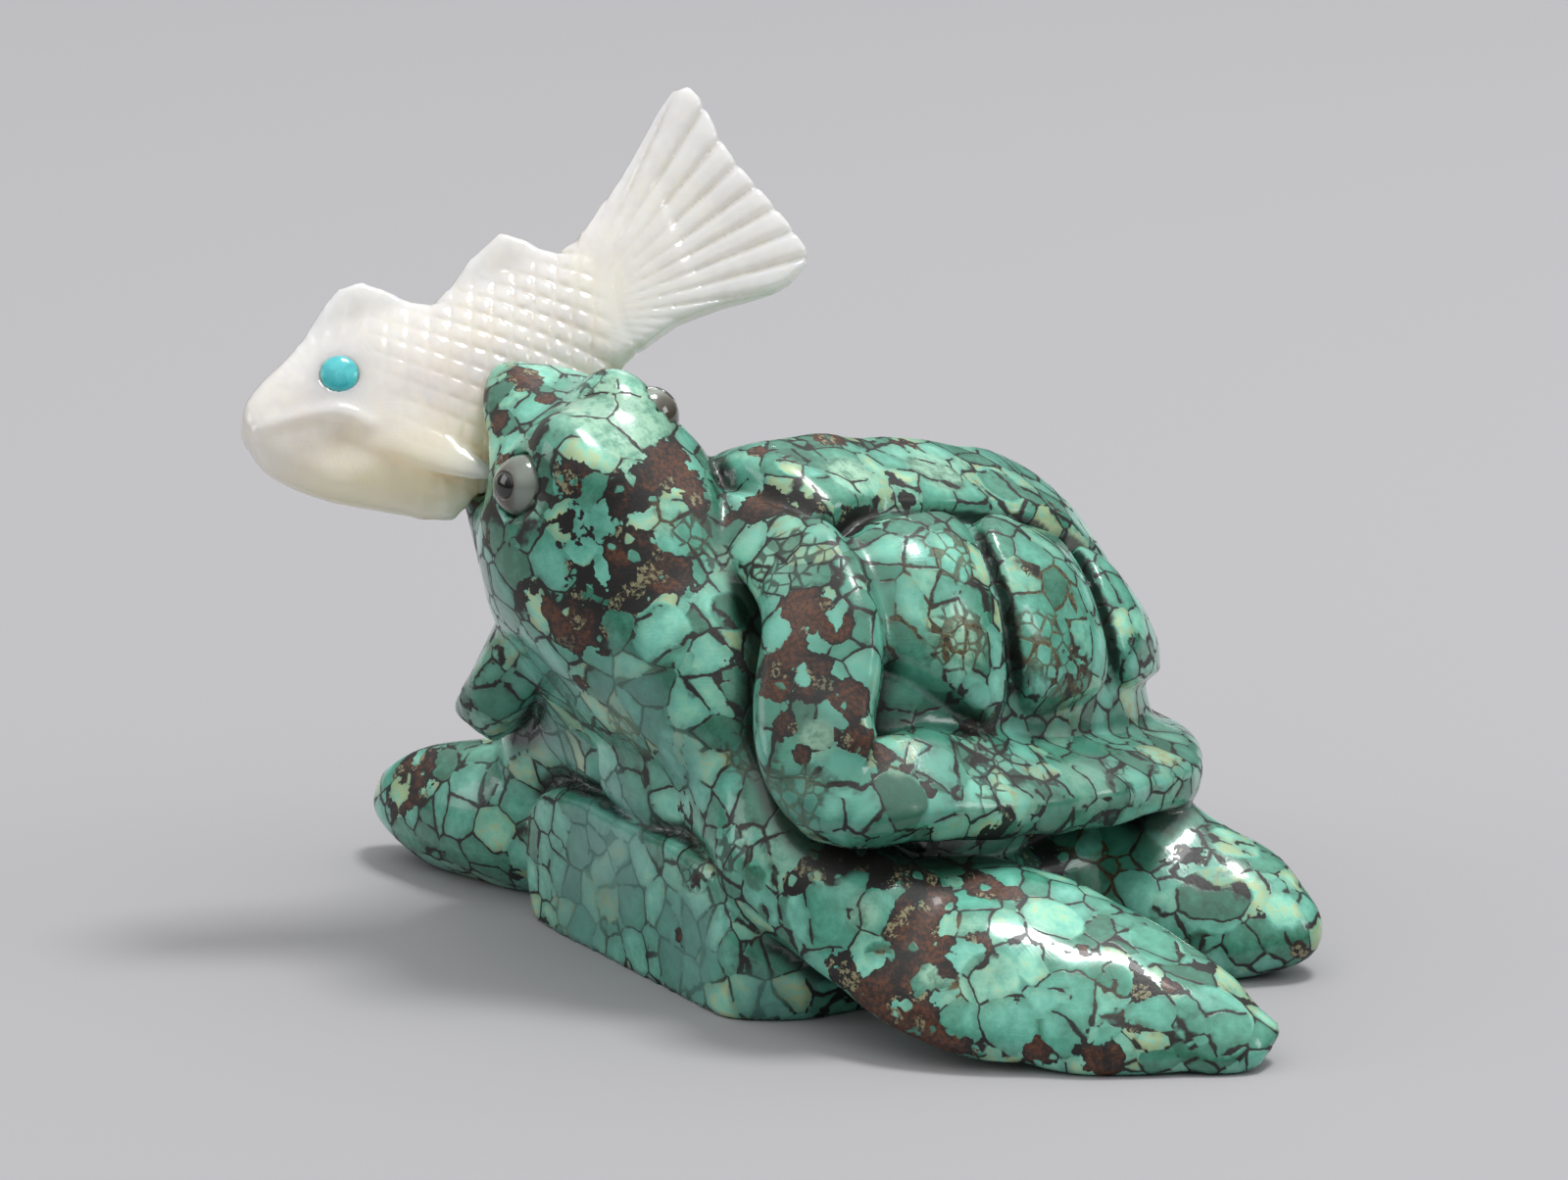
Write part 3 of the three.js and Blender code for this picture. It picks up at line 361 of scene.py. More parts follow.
@dataclass
class Strap:
    """A closed flat band, as rows of x, y, z, half width, half thickness and facing.

    The facing is the angle at which its broad side looks up, from 0 for straight out to 90.
    """

    rows: Rows
    middle: tuple[float, float]
    power: float = 3.6

    def __post_init__(self) -> None:
        """Works out which way the band faces at each row."""
        self.rows = rows = np.asarray(self.rows, float)
        self.across, self.facing = np.zeros((len(rows), 3)), np.zeros((len(rows), 3))
        for n, row in enumerate(rows[:-1]):
            tangent = unit(rows[n + 1, :3] - rows[n - 1 if n else -2, :3])
            out = unit([row[0] - self.middle[0], row[1] - self.middle[1], 0])
            angle = math.radians(row[5])
            facing = out * math.cos(angle) + np.array([0, 0, math.sin(angle)])
            self.facing[n] = unit(facing - tangent * (facing @ tangent))
            self.across[n] = np.cross(tangent, self.facing[n])
        self.facing[-1], self.across[-1] = self.facing[0], self.across[0]
        widest = rows[:, 3].max()
        self.low, self.high = rows[:, :3].min(0) - widest, rows[:, :3].max(0) + widest

    def distance(self, points: Array) -> Array:
        """Signed distance, rough where it is large.

        Args:
            points: World points, one a row.

        Returns:
            A distance for each point.
        """
        result = np.maximum(self.low - points, points - self.high).max(1)
        near = result <= FAR_AWAY
        close = points[near]
        nearest = np.full(len(close), np.inf)
        section = np.ones((len(close), 4))
        for n, (start, end) in enumerate(zip(self.rows[:-1], self.rows[1:])):
            change = end - start
            offset = close - start[:3]
            share = np.clip(offset @ change[:3] / (change[:3] @ change[:3]), 0, 1)
            offset = offset - share[:, None] * change[:3]
            gap = (offset**2).sum(1)
            closer = gap < nearest
            nearest[closer] = gap[closer]
            offset, share = offset[closer], share[closer]
            for column, axes in enumerate((self.across, self.facing)):
                section[closer, column] = np.abs(
                    (offset @ axes[n]) * (1 - share) + (offset @ axes[n + 1]) * share
                )
                section[closer, 2 + column] = start[3 + column] + change[3 + column] * share
        u, v, half, thick = section.T
        a, b = (u / half) ** (self.power - 1), (v / thick) ** (self.power - 1)
        level = a * u / half + b * v / thick
        slope = self.power * np.hypot(a / half, b / thick)
        inner = (level ** (1 / self.power) - 1) * thick
        result[near] = np.where(level < 1, inner, (level - 1) / np.maximum(slope, TINY))
        return result


@dataclass
class Plane:
    """A flat cut: what is past the place, in the direction that it faces, is outside."""

    place: Sequence[float]
    facing: Sequence[float]

    def distance(self, points: Array) -> Array:
        """Signed distance to the cut."""
        return (points - np.asarray(self.place, float)) @ unit(self.facing)


def joined(parts: Sequence[Lump | Limb], points: Array, blend: float, form: Array | None = None) -> Array:
    """Joins several masses, one after the other.

    Args:
        parts: The masses.
        points: World points, one a row.
        blend: How softly each joins what is there.
        form: Distances of what is there already.

    Returns:
        A distance for each point.
    """
    for part in parts:
        distance = part.distance(points)
        form = distance if form is None else smooth_union(form, distance, blend)
    return form


# Meshes


@dataclass
class Sculptor:
    """Takes the surface of a signed distance from a grid, in quads, with a point in each crossed cell."""

    low: Triple
    high: Triple
    cell: float
    block: int = 8
    margin: float = 1.3
    batch: int = 400
    rounds: int = 3
    probe: float = 0.2

    def grid(self, form: Distance) -> Array:
        """Values of a form on the whole grid, right near the surface and rough elsewhere.

        Args:
            form: The signed distance.

        Returns:
            The values, by x, y and z.
        """
        blocks = [
            math.ceil((high - low) / self.cell / self.block) + 1 for low, high in zip(self.low, self.high)
        ]
        steps = (np.arange(self.block) - (self.block - 1) / 2) * self.cell
        middles = [
            low + (np.arange(count) * self.block + (self.block - 1) / 2) * self.cell
            for low, count in zip(self.low, blocks)
        ]
        centres = np.stack(np.meshgrid(*middles, indexing="ij"), -1).reshape(-1, 3)
        rough = form(centres)
        reach = (self.block - 1) / 2 * self.cell * math.sqrt(3) * self.margin
        inner = np.stack(np.meshgrid(steps, steps, steps, indexing="ij"), -1)
        values = np.repeat(rough, self.block**3).reshape(-1, self.block, self.block, self.block)
        close = np.flatnonzero(np.abs(rough) < reach)
        for some in np.array_split(close, max(len(close) // self.batch, 1)):
            points = centres[some][:, None, None, None, :] + inner
            values[some] = form(points.reshape(-1, 3)).reshape(-1, self.block, self.block, self.block)
        values = values.reshape(*blocks, self.block, self.block, self.block)
        return values.transpose(0, 3, 1, 4, 2, 5).reshape([count * self.block for count in blocks])

    def surface(self, form: Distance) -> tuple[Array, list[list[int]]]:
        """The surface of a form.

        Args:
            form: The signed distance.

        Returns:
            Points and quads, with the quads facing out.
        """
        values = self.grid(form)
        inside = values < 0
        shape = np.array(values.shape) - 1
        corners = [(i, j, k) for i in (0, 1) for j in (0, 1) for k in (0, 1)]

        def corner(block: Array, i: int, j: int, k: int) -> Array:
            return block[i:i + shape[0], j:j + shape[1], k:k + shape[2]]

        filled = sum(corner(inside, *place).astype(np.int8) for place in corners)
        crossed = (filled > 0) & (filled < 8)
        cells = np.argwhere(crossed)
        number = np.full(crossed.shape, -1)
        number[crossed] = np.arange(len(cells))
        total, count = np.zeros((len(cells), 3)), np.zeros(len(cells))
        for axis in range(3):
            for start in corners:
                if start[axis]:
                    continue
                end = tuple(value + (n == axis) for n, value in enumerate(start))
                a = values[tuple((cells + start).T)]
                b = values[tuple((cells + end).T)]
                cut = (a < 0) != (b < 0)
                places = cells[cut] + np.array(start, float)
                places[:, axis] += a[cut] / (a[cut] - b[cut])
                total[cut] += places
                count[cut] += 1
        points = np.array(self.low) + total / count[:, None] * self.cell
        return self.settled(form, points), self.quads(inside, number)

    @staticmethod
    def quads(inside: Array, number: Array) -> list[list[int]]:
        """The quads around the grid edges that the surface cuts.

        Args:
            inside: Whether each grid point is inside.
            number: The number of the point in each cell, or -1.

        Returns:
            Four point numbers for each quad.
        """
        found = []
        for axis in range(3):
            first, second = (axis + 1) % 3, (axis + 2) % 3
            ahead = np.moveaxis(inside, axis, 0)
            starts, ends = np.moveaxis(ahead[:-1], 0, axis), np.moveaxis(ahead[1:], 0, axis)
            for leaving in (True, False):
                cut = np.argwhere((starts if leaving else ends) & ~(ends if leaving else starts))
                cut = cut[(cut[:, first] > 0) & (cut[:, second] > 0)]
                ring = []
                for back_first, back_second in ((1, 1), (0, 1), (0, 0), (1, 0)):
                    cell = cut.copy()
                    cell[:, first] -= back_first
                    cell[:, second] -= back_second
                    ring.append(number[tuple(cell.T)])
                quad = np.stack(ring, 1)
                found.append(quad if leaving else quad[:, ::-1])
        return np.concatenate(found).tolist()

    def settled(self, form: Distance, points: Array) -> Array:
        """Moves points onto the surface along its slope, by less than a cell.

        Args:
            form: The signed distance.
            points: Points near the surface.

        Returns:
            The moved points.
        """
        places = points.copy()
        for _ in range(self.rounds):
            value, slope = level_and_slope(form, places, self.cell * self.probe)
            step = slope * (value / np.maximum((slope**2).sum(1), LEAST_SLOPE))[:, None]
            places -= np.clip(step, -self.cell / 2, self.cell / 2)
        return np.clip(places, points - self.cell, points + self.cell)


def level_and_slope(form: Distance, points: Array, reach: float) -> tuple[Array, Array]:
    """A form's values and slopes at some points, with the slopes taken over a reach each way."""
    slope = np.stack(
        [(form(points + step) - form(points - step)) / (2 * reach) for step in np.eye(3) * reach], 1
    )
    return form(points), slope


def creases(form: Distance, points: Array, probe: float, reach: float) -> Array:
    """How tightly a surface closes in over its points, from 0 where it is open to 1 deep in a crease.

    Args:
        form: The signed distance.
        points: Points on its surface.
        probe: How far to each side the slope is measured.
        reach: How far out from the surface it looks.

    Returns:
        A share for each point.
    """
    _, slope = level_and_slope(form, points, probe)
    normal = slope / np.linalg.norm(slope, axis=1)[:, None].clip(LEAST_SLOPE)
    return np.clip(1 - form(points + normal * reach) / reach, 0, 1)


def mesh_piece(name: str, points: Array, faces: list[list[int]]) -> bpy.types.Object:
    """A smooth-shaded object from points in millimetres.

    Args:
        name: The name of the object.
        points: The points, one a row.
        faces: Point numbers, one face a row.

    Returns:
        The object, in the scene.
    """
    mesh = bpy.data.meshes.new(name)
    mesh.from_pydata((np.asarray(points) * MM).tolist(), [], faces)
    mesh.validate()
    mesh.shade_smooth()
    mesh.update()
    piece = bpy.data.objects.new(name, mesh)
    bpy.context.scene.collection.objects.link(piece)
    return piece


def set_mask(piece: bpy.types.Object, mask: Mask, values: Array) -> None:
    """Stores a value at each point of a piece for its material."""
    attribute = piece.data.attributes.new(mask.value, "FLOAT", "POINT")
    attribute.data.foreach_set("value", np.asarray(values, np.float32))


def lathe_piece(name: str, profile: Rows, place: Array, axis: Array, sides: int = 64) -> bpy.types.Object:
    """A closed round piece.

    Args:
        name: The name of the object.
        profile: Radius and height of each ring, with a point on the axis at both ends, from the top down.
        place: Where height 0 is.
        axis: The direction of its height.
        sides: How many faces go round.

    Returns:
        The object, in the scene.
    """
    across = unit(np.cross(axis, (0.0, 0.0, 1.0)))
    third = np.cross(axis, across)
    turns = np.arange(sides) * 2 * math.pi / sides
    ring = np.cos(turns)[:, None] * across + np.sin(turns)[:, None] * third
    top, *middle, bottom = profile
    points = [place + axis * top[1]]
    for radius, height in middle:
        points.extend(place + ring * radius + axis * height)
    points.append(place + axis * bottom[1])
    faces = []
    for n in range(sides):
        following = (n + 1) % sides
        faces.append([0, 1 + n, 1 + following])
        for k in range(len(middle) - 1):
            low, high = 1 + k * sides, 1 + (k + 1) * sides
            faces.append([low + n, high + n, high + following, low + following])
        last = 1 + (len(middle) - 1) * sides
        faces.append([len(points) - 1, last + following, last + n])
    return mesh_piece(name, np.array(points), faces)


# The turtle


@dataclass
class Head:
    """The lifted and turned head, with its beak, brows and the neck that carries it."""

    centre: Triple = (-4.7, -9.4, 23.9)
    turn: float = 80.6
    lift: float = 31.8
    roll: float = -22.6
    feature_blend: float = 1.0
    skull: Sequence[Sequence[float]] = ((-1.2, 0, -2.4), (4.4, 4.4, 4.4, 3.1, 4.6), (2.2, 2.3, 2.2))
    snout: Sequence[Sequence[float]] = ((1.4, 0, -1.8), (5.6, 3, 4.0, 2.0, 1.9), (1.5, 1.5, 2))
    jaw: Sequence[Sequence[float]] = ((1.2, 0, -6.4), (6.2, 4, 4.2, 1.6, 3), (1.7, 1.7, 2))
    brows: tuple[Triple, Triple] = ((0.7, 1.8, 0.5), (-0.7, -2.1, 1.1))
    brow_reaches: tuple[float, ...] = (2.2, 2.4, 1.6, 1.4, 2)
    neck_steps: int = 3
    neck: Rows = (
        (-1.8, -2.6, 6.5, 7.4), (-3.4, -6.2, 8.5, 6.8), (-4.5, -8.4, 11.8, 6.3),
        (-5.1, -9.3, 15.1, 5.9), (-5.2, -9.4, 18.1, 5.5), (-4.7, -9.2, 20.2, 4.7),
    )
    nape: Rows = ((1.5, -8, 9, 6.4), (0, -8, 14, 5.2), (-2.5, -8, 18.5, 4))

    def __post_init__(self) -> None:
        """Places the masses of the head in its own pose."""
        turn, lift = math.radians(self.turn), math.radians(self.lift)
        forward = np.array(
            [-math.sin(turn) * math.cos(lift), -math.cos(turn) * math.cos(lift), math.sin(lift)]
        )
        upright = unit(np.array([0.0, 0.0, 1.0]) - forward * forward[2])
        self.forward, self.up = forward, turned(upright, forward, self.roll)
        self.pose = Pose(self.centre, self.forward, self.up)
        features = [self.skull, self.snout, self.jaw, *((place, self.brow_reaches) for place in self.brows)]
        self.masses = [self.mass(*feature) for feature in features]
        self.necks = [Limb(smooth_line(rows, self.neck_steps)) for rows in (self.neck, self.nape)]

    def mass(self, place: Triple, reaches: Sequence[float], powers: Triple = ROUND) -> Lump:
        """A lump at a place in the head, with its reaches ahead, behind, to the side, above and below."""
        return Lump(Pose(self.pose.at(*place), self.forward, self.up), *reaches, powers)

    def distance(self, points: Array) -> Array:
        """Signed distance to the head alone."""
        return joined(self.masses, points, self.feature_blend)


@dataclass
class Shell:
    """The shell: a keeled row along the middle, side scutes that stand proud, and a sloping brim."""

    tilt: float = 18.0
    keel_tilt: float = 9.5
    centre: Triple = (0, -2, 9)
    dome: tuple[float, ...] = (7.4, 17.4, 11.6, 12.7, 6)
    dome_powers: Triple = (2.9, 2.9, 2.6)
    keel: tuple[float, ...] = (8.6, 18.6, 11.3, 14.6, 6)
    keel_powers: Triple = (4.0, 1.35, 2.6)
    keel_half_width: float = 5.1
    keel_edge: float = 0.7
    prow: Triple = (0, -5.1, 24.2)
    prow_facing: Triple = (0, -0.93, 0.37)
    keel_groove: float = 0.45
    groove_width: float = 0.55
    scute_rise: float = 0.7
    scute_crown: float = 0.5
    scute_top: float = 63.0
    scute_foot: float = 15.0
    foot_climb: float = 4.3
    foot_from: float = -1.4
    foot_length: float = 6.0
    scute_edge: float = 0.84
    scute_power: float = 6.0
    seams: tuple[float, ...] = (-5.9, 3.2, 10.0, 17, 26)
    seam_lean: float = 0.35
    middle: tuple[float, float] = (0.0, 2.0)
    brim_blend: float = 0.8
    brim_steps: int = 4
    brim_front: Sequence[float] = (0, -5.6, 20.1, 2.2, 1.7, 35)
    brim_back: Sequence[float] = (0, 15.8, 7.7, 2.1, 1.3, 75)
    brim_half: Rows = (
        (4.6, -6.0, 19.3, 2.4, 1.7, 32), (8.1, -7.5, 17.2, 2.6, 1.7, 25), (9.9, -9.6, 13.4, 2.7, 1.6, 28),
        (11.7, -9.2, 11.0, 2.6, 1.5, 42), (12.9, -5.0, 10.7, 2.6, 1.3, 52), (13.1, 0, 9.7, 2.6, 1.3, 62),
        (12.9, 5, 9.0, 2.4, 1.3, 72), (11.4, 9.9, 8.4, 2.3, 1.3, 78), (6.6, 13.9, 8.0, 2.1, 1.3, 76),
    )

    def __post_init__(self) -> None:
        """Places the dome, the keel and the brim."""
        self.dome_mass = self.tilted(self.tilt, self.dome, self.dome_powers)
        self.keel_mass = self.tilted(self.keel_tilt, self.keel, self.keel_powers)
        self.prow_cut = Plane(self.prow, self.prow_facing)
        ring = [self.brim_front, *self.brim_half, self.brim_back, *reversed(mirrored(self.brim_half))]
        self.brim = Strap(smooth_line(ring, self.brim_steps, closed=True), self.middle)

    def tilted(self, tilt: float, reaches: Sequence[float], powers: Triple) -> Lump:
        """A mass about the middle of the shell, lifted in front by some degrees."""
        angle = math.radians(tilt)
        return Lump(Pose(self.centre, (0, -math.cos(angle), math.sin(angle))), *reaches, powers)

    def swelling(self, points: Array) -> Array:
        """How far the side scutes stand proud.

        Args:
            points: World points, one a row.

        Returns:
            A height for each point.
        """
        across, height = np.abs(points[:, 0]), points[:, 2] - self.centre[2]
        along = points[:, 1] + self.seam_lean * np.maximum(across - self.keel_half_width, 0)
        seams = np.array(self.seams)
        n = np.clip(np.searchsorted(seams, along) - 1, 0, len(seams) - 2)
        a = (2 * along - seams[n] - seams[n + 1]) / (seams[n + 1] - seams[n])
        climb = np.clip(self.foot_from - points[:, 1], 0, self.foot_length) * self.foot_climb
        foot = self.scute_foot + climb
        b = (2 * np.degrees(np.arctan2(height, across)) - self.scute_top - foot) / (self.scute_top - foot)
        away = (np.abs(a) ** self.scute_power + np.abs(b) ** self.scute_power) ** (1 / self.scute_power)
        edge = 1 - smooth_step(away, self.scute_edge, 1)
        return self.scute_rise * edge + self.scute_crown * np.clip(1 - away * away, 0, 1)

    def distance(self, points: Array) -> Array:
        """Signed distance to the dome with its scutes, brim and keel."""
        dome = self.dome_mass.distance(points)
        near = np.abs(dome) < FAR_AWAY
        dome[near] -= self.swelling(points[near])
        dome = smooth_union(dome, self.brim.distance(points), self.brim_blend)
        wall = np.abs(points[:, 0]) - self.keel_half_width
        keel = smooth_common(self.keel_mass.distance(points), wall, self.keel_edge)
        keel = smooth_common(keel, self.prow_cut.distance(points), self.keel_edge)
        return carved_union(dome, keel, self.keel_groove, self.groove_width)


@dataclass(frozen=True)
class Flipper:
    """A pointed leaf whose front edge is turned down to the ground.

    Its reaches are behind its middle, to its side, above and below.
    """

    middle: Triple
    tip: Triple
    roll: float
    reaches: tuple[float, ...]
    powers: Triple

    def mass(self) -> Lump:
        """The flipper as one mass."""
        along = np.array(self.tip, float) - np.array(self.middle, float)
        up = turned(np.array([0.0, 0.0, 1.0]), unit(along), self.roll)
        ahead = float(np.linalg.norm(along))
        return Lump(Pose(self.middle, along, up), ahead, *self.reaches, self.powers)

    def mirrored(self) -> "Flipper":
        """The same flipper on the other side."""
        middle, tip = mirrored([self.middle, self.tip])
        return Flipper(middle, tip, -self.roll, self.reaches, self.powers)


@dataclass
class Spot:
    """A place in the stone where its pattern changes, and how strongly each mask does there."""

    place: Triple
    radius: float
    matrix: float = 0.0
    rust: float = 0.0
    blue: float = 0.0
    pale: float = 0.0
    ochre: float = 0.0
    coarse: float = 0.0
    fine: float = 0.0


@dataclass
class Turtle:
    """The whole turtle, carved from one stone."""

    cell: float = 0.27
    low: Triple = (-27.0, -18.5, -0.6)
    high: Triple = (30.0, 23.0, 29.5)
    crease_blend: float = 0.8
    soft_blend: float = 2.0
    slot_blend: float = 0.3
    groove_depth: float = 0.3
    groove_width: float = 0.7
    groove_fade: tuple[float, float] = (7.0, 8.0)
    front_face: Triple = (-1.5, -10.7, 0)
    front_facing: Triple = (-0.19, -0.98, 0)
    plastron_centre: Triple = (-0.12, -1.88, 3.2)
    plastron_reaches: tuple[float, ...] = (10.5, 15.0, 11.5, 4.6, 6.0)
    plastron_powers: Triple = (4.0, 3.6, 3.2)
    front_edge: float = 0.35
    throat: Triple = (-1.1, -8.7, 7.6)
    throat_facing: Triple = (-0.155, -0.80, -0.58)
    throat_blend: float = 3.0
    facet_depth: float = 0.07
    facet_length: float = 4.2
    mouth_gap: float = 0.1
    socket_gap: float = 0.05
    crease_reach: float = 1.1
    head: Head = field(default_factory=Head)
    shell: Shell = field(default_factory=Shell)
    left_shoulder: Rows = ((3, -5.5, 8, 4.6), (7.6, -8.8, 6.6, 3.7), (12.5, -8.0, 4.9, 3.0))
    right_shoulder: Rows = ((-3, -2.5, 8, 4.6), (-8.8, -3.8, 9.4, 4.4), (-12.4, -4.0, 7.2, 3.9))
    hip: Rows = ((6, 8, 6, 4), (11, 9.4, 4.4, 3.2))
    tail: Rows = ((0, 14, 4.5, 3), (0, 18.6, 2.6, 1.3), (0, 20.6, 1.4, 0.6))
    body_centre: Triple = (0, 2, 7)
    body_reaches: tuple[float, ...] = (11, 13.4, 10.8, 8, 9)
    body_powers: Triple = (2.6, 2.6, 2.4)
    front_left: Flipper = Flipper(
        (16.6, -5.4, 3.7), (28.2, 1.4, 0.8), 28, (10.5, 5.6, 2.7, 2.3), (1.4, 1.7, 1.8)
    )
    front_right: Flipper = Flipper(
        (-15.3, -4.8, 3.3), (-24.6, -6.8, 2.7), -18, (9, 3.9, 3.7, 4.1), (1.8, 1.8, 1.8)
    )
    rear_left: Flipper = Flipper(
        (12.8, 9.0, 3.2), (20.2, 11.6, 1.6), 24, (9, 4.6, 2.9, 2.6), (2.0, 1.9, 1.9)
    )
    spot_core: float = 0.5
    spot_edge: float = 1.3
    spots: tuple[Spot, ...] = (
        # Head
        Spot((-9.2, -10.0, 26.3), 1.1, 0.9, 1), Spot((-7.4, -10.3, 25.5), 0.6, 0.85, 1),
        Spot((-8.7, -12.1, 24.5), 0.6, 0.7, 0.8), Spot((-7.1, -13.1, 23.2), 0.5, 0.8, 0.9),
        Spot((-5.0, -13.0, 24.5), 0.7, 0.75), Spot((-2.3, -13.1, 23.2), 1.1, 0.85, 0.7),
        Spot((-2.4, -12.6, 24.2), 0.6, 0.5), Spot((-3.7, -13.6, 22.5), 0.6, 0.95),
        # The wide pale spot between the brows is partly the stone's own milky colour and partly painted
        # highlight.
        Spot((-3.2, -9.6, 25.3), 2.8, pale=1, coarse=0.8), Spot((-1.3, -10.6, 23.8), 1.4, pale=0.9),
        Spot((-5.6, -9.3, 26.4), 0.9, 0.5, fine=1), Spot((-0.8, -8.4, 23.2), 1.6, 1, 1),
        Spot((0.4, -8.0, 21.9), 0.9, 1, 0.9), Spot((-0.7, -11.2, 22.4), 1.2, 1, 0.5),
        Spot((-0.7, -10.3, 22.8), 0.9, 1, 0.6), Spot((0.3, -10.4, 21.3), 1.0, pale=0.6, ochre=0.8),
        Spot((1.2, -9.0, 20.6), 1.0, ochre=0.4, fine=1), Spot((0.4, -11.6, 19.7), 1.7, 1, 0.6),
        Spot((1.4, -10.7, 19.1), 1.2, 1, 0.8), Spot((0.4, -12.2, 18.3), 1.2, 0.95),
        Spot((2.1, -10.2, 18.5), 0.7, 0.5), Spot((-1.8, -13.1, 20.9), 1.9, 0.45, coarse=0.5),
        Spot((-1.4, -13.4, 18.1), 2.0, 0.5, coarse=0.3), Spot((-1.8, -13.6, 16.5), 1.4, 1, 0.8),
        Spot((-2.9, -14.0, 17.2), 0.7, 0.9, 0.8), Spot((-0.6, -13.1, 16.0), 1.0, 0.85, 0.4),
        Spot((-4.0, -14.2, 17.9), 0.8, 0.7, 0.4), Spot((-2.5, -12.6, 13.7), 0.6, 0.75, 0.6),
        Spot((2.3, -11.9, 16.7), 1.5, coarse=1), Spot((3.7, -9.0, 17.5), 1.1, 0.25, coarse=0.8),
        Spot((-7.0, -14.1, 19.8), 0.5, 0.6, 0.5), Spot((2.1, -8.2, 19.5), 0.7, pale=0.6, fine=0.8),
        Spot((-7.4, -13.7, 17.3), 1.8, blue=0.4), Spot((-5.3, -12.0, 13.3), 2.7, blue=0.6),
        # Neck and plastron
        Spot((-9.2, -8.7, 9.6), 2.7, blue=0.8), Spot((0.9, -12.6, 13.7), 2.5, blue=0.7, ochre=0.3),
        Spot((3.4, -11.9, 11.2), 1.8, blue=0.8, coarse=0.5),
        Spot((-0.4, -11.6, 11.5), 1.4, blue=0.5, ochre=0.8, fine=0.5),
        Spot((-3.2, -10.4, 5.1), 4.1, blue=1), Spot((3.7, -11.6, 2.8), 3.2, blue=0.9, ochre=0.3),
        Spot((-5.9, -9.9, 1.6), 2.7, blue=1, ochre=0.6), Spot((8.5, -11.5, 1.2), 1.4, blue=0.7),
        Spot((11.0, -12.3, 10.8), 1.8, blue=0.5, ochre=0.9, fine=0.9),
        Spot((6.7, -10.2, 11.8), 1.4, blue=0.4, ochre=0.8, fine=0.5),
        Spot((4.2, -11.8, 5.7), 1.0, 0.5, 0.3, fine=0.6), Spot((2.8, -11.4, 2.8), 0.5, 0.7, 0.7),
        Spot((2.8, -10.8, 8.3), 1.2, 0.4, ochre=0.6), Spot((7.3, -12.2, 7.8), 0.9, fine=0.9),
        Spot((5.0, -10.2, 15.0), 1.0, 0.5), Spot((9.9, -11.3, 8.2), 1.2, pale=0.5, coarse=0.8),
        Spot((10.8, -11.6, 7.1), 0.7, 1), Spot((9.5, -12.0, 5.4), 0.7, coarse=0.6),
        Spot((8.9, -12.2, 7.0), 0.8, ochre=0.4, coarse=0.6), Spot((10.9, -11.1, 7.7), 0.5, 0.8),
        # Shell
        Spot((2.3, -6.0, 21.6), 1.3, 0.75, 0.7), Spot((3.9, -4.8, 21.5), 1.0, 0.8, 0.3),
        Spot((1.4, -7.0, 21.0), 0.6, 0.5, 0.6), Spot((5.9, -7.7, 19.9), 1.8, pale=0.3, fine=1),
        Spot((7.6, -6.7, 20.3), 0.9, fine=0.8), Spot((0.3, -4.5, 23.5), 0.6, 0.8, 1),
        Spot((0.6, -0.3, 23.6), 1.2, 0.7, 0.9), Spot((0.6, 4.3, 22.6), 0.9, 0.6, 0.8),
        Spot((2.1, -3.4, 23.2), 1.3, coarse=1), Spot((3.4, -1.3, 22.5), 1.4, pale=1, coarse=1),
        Spot((3.0, 4.2, 21.8), 1.6, pale=0.8, coarse=1), Spot((3.6, 7.6, 20.7), 1.4, coarse=0.8),
        Spot((3.5, 1.1, 22.0), 0.6, 1), Spot((4.5, 1.0, 21.1), 0.5, 1), Spot((4.7, -2.8, 20.7), 0.9, 1),
        Spot((4.5, -1.8, 20.9), 0.6, 1), Spot((4.2, 10.6, 19.4), 0.7, 0.9, 1),
        Spot((9.5, -3.1, 20.5), 1.5, coarse=0.4), Spot((10.0, -1.2, 20.2), 1.5, ochre=1, fine=0.8),
        Spot((12.1, -2.6, 16.8), 1.6, pale=0.9, ochre=1, fine=0.8),
        Spot((10.1, -4.3, 19.0), 1.4, ochre=0.7, coarse=0.4),
        Spot((10.8, -4.9, 17.4), 1.5, ochre=0.8, coarse=0.5), Spot((11.8, -3.8, 15.2), 1.2, coarse=1),
        Spot((12.6, -2.1, 14.0), 0.9, coarse=0.8), Spot((12.0, -0.7, 12.7), 0.8, 1),
        Spot((12.8, -1.7, 13.9), 0.5, 0.8), Spot((11.9, -2.1, 12.5), 0.5, 0.9),
        Spot((10.2, -5.2, 14.7), 1.6, coarse=1), Spot((10.8, 4.4, 17.7), 2.3, ochre=0.8, coarse=0.3),
        Spot((12.0, 2.6, 15.9), 1.8, ochre=1, fine=0.8),
        Spot((12.4, 4.2, 13.5), 1.6, 0.2, ochre=0.7, fine=0.7), Spot((10.4, 8.5, 14.6), 1.6, coarse=0.4),
        Spot((10.1, 3.5, 18.8), 0.9, 0.5), Spot((9.7, 1.8, 17.9), 0.6, ochre=0.8),
        Spot((8.4, -8.9, 18.3), 1.5, 0.9, 1), Spot((9.8, -8.4, 17.8), 0.9, 0.85, 0.9),
        Spot((8.7, -10.3, 16.9), 1.2, 1, 1), Spot((9.0, -11.1, 15.5), 0.9, 0.95, 1),
        Spot((10.1, -9.8, 15.9), 1.4, 0.85, 0.5), Spot((11.6, -9.2, 15.0), 1.2, 0.95, 0.8),
        Spot((12.6, -9.2, 13.5), 1.1, 0.9, 0.9), Spot((11.7, -10.2, 13.9), 0.6, 0.8, 0.7),
        Spot((10.1, -11.5, 14.0), 0.6, 0.9, 0.9), Spot((11.1, -11.5, 12.9), 0.5, 0.9, 0.9),
        Spot((11.4, -10.8, 13.6), 0.8, pale=1, coarse=1), Spot((12.6, -10.1, 12.1), 1.2, coarse=1),
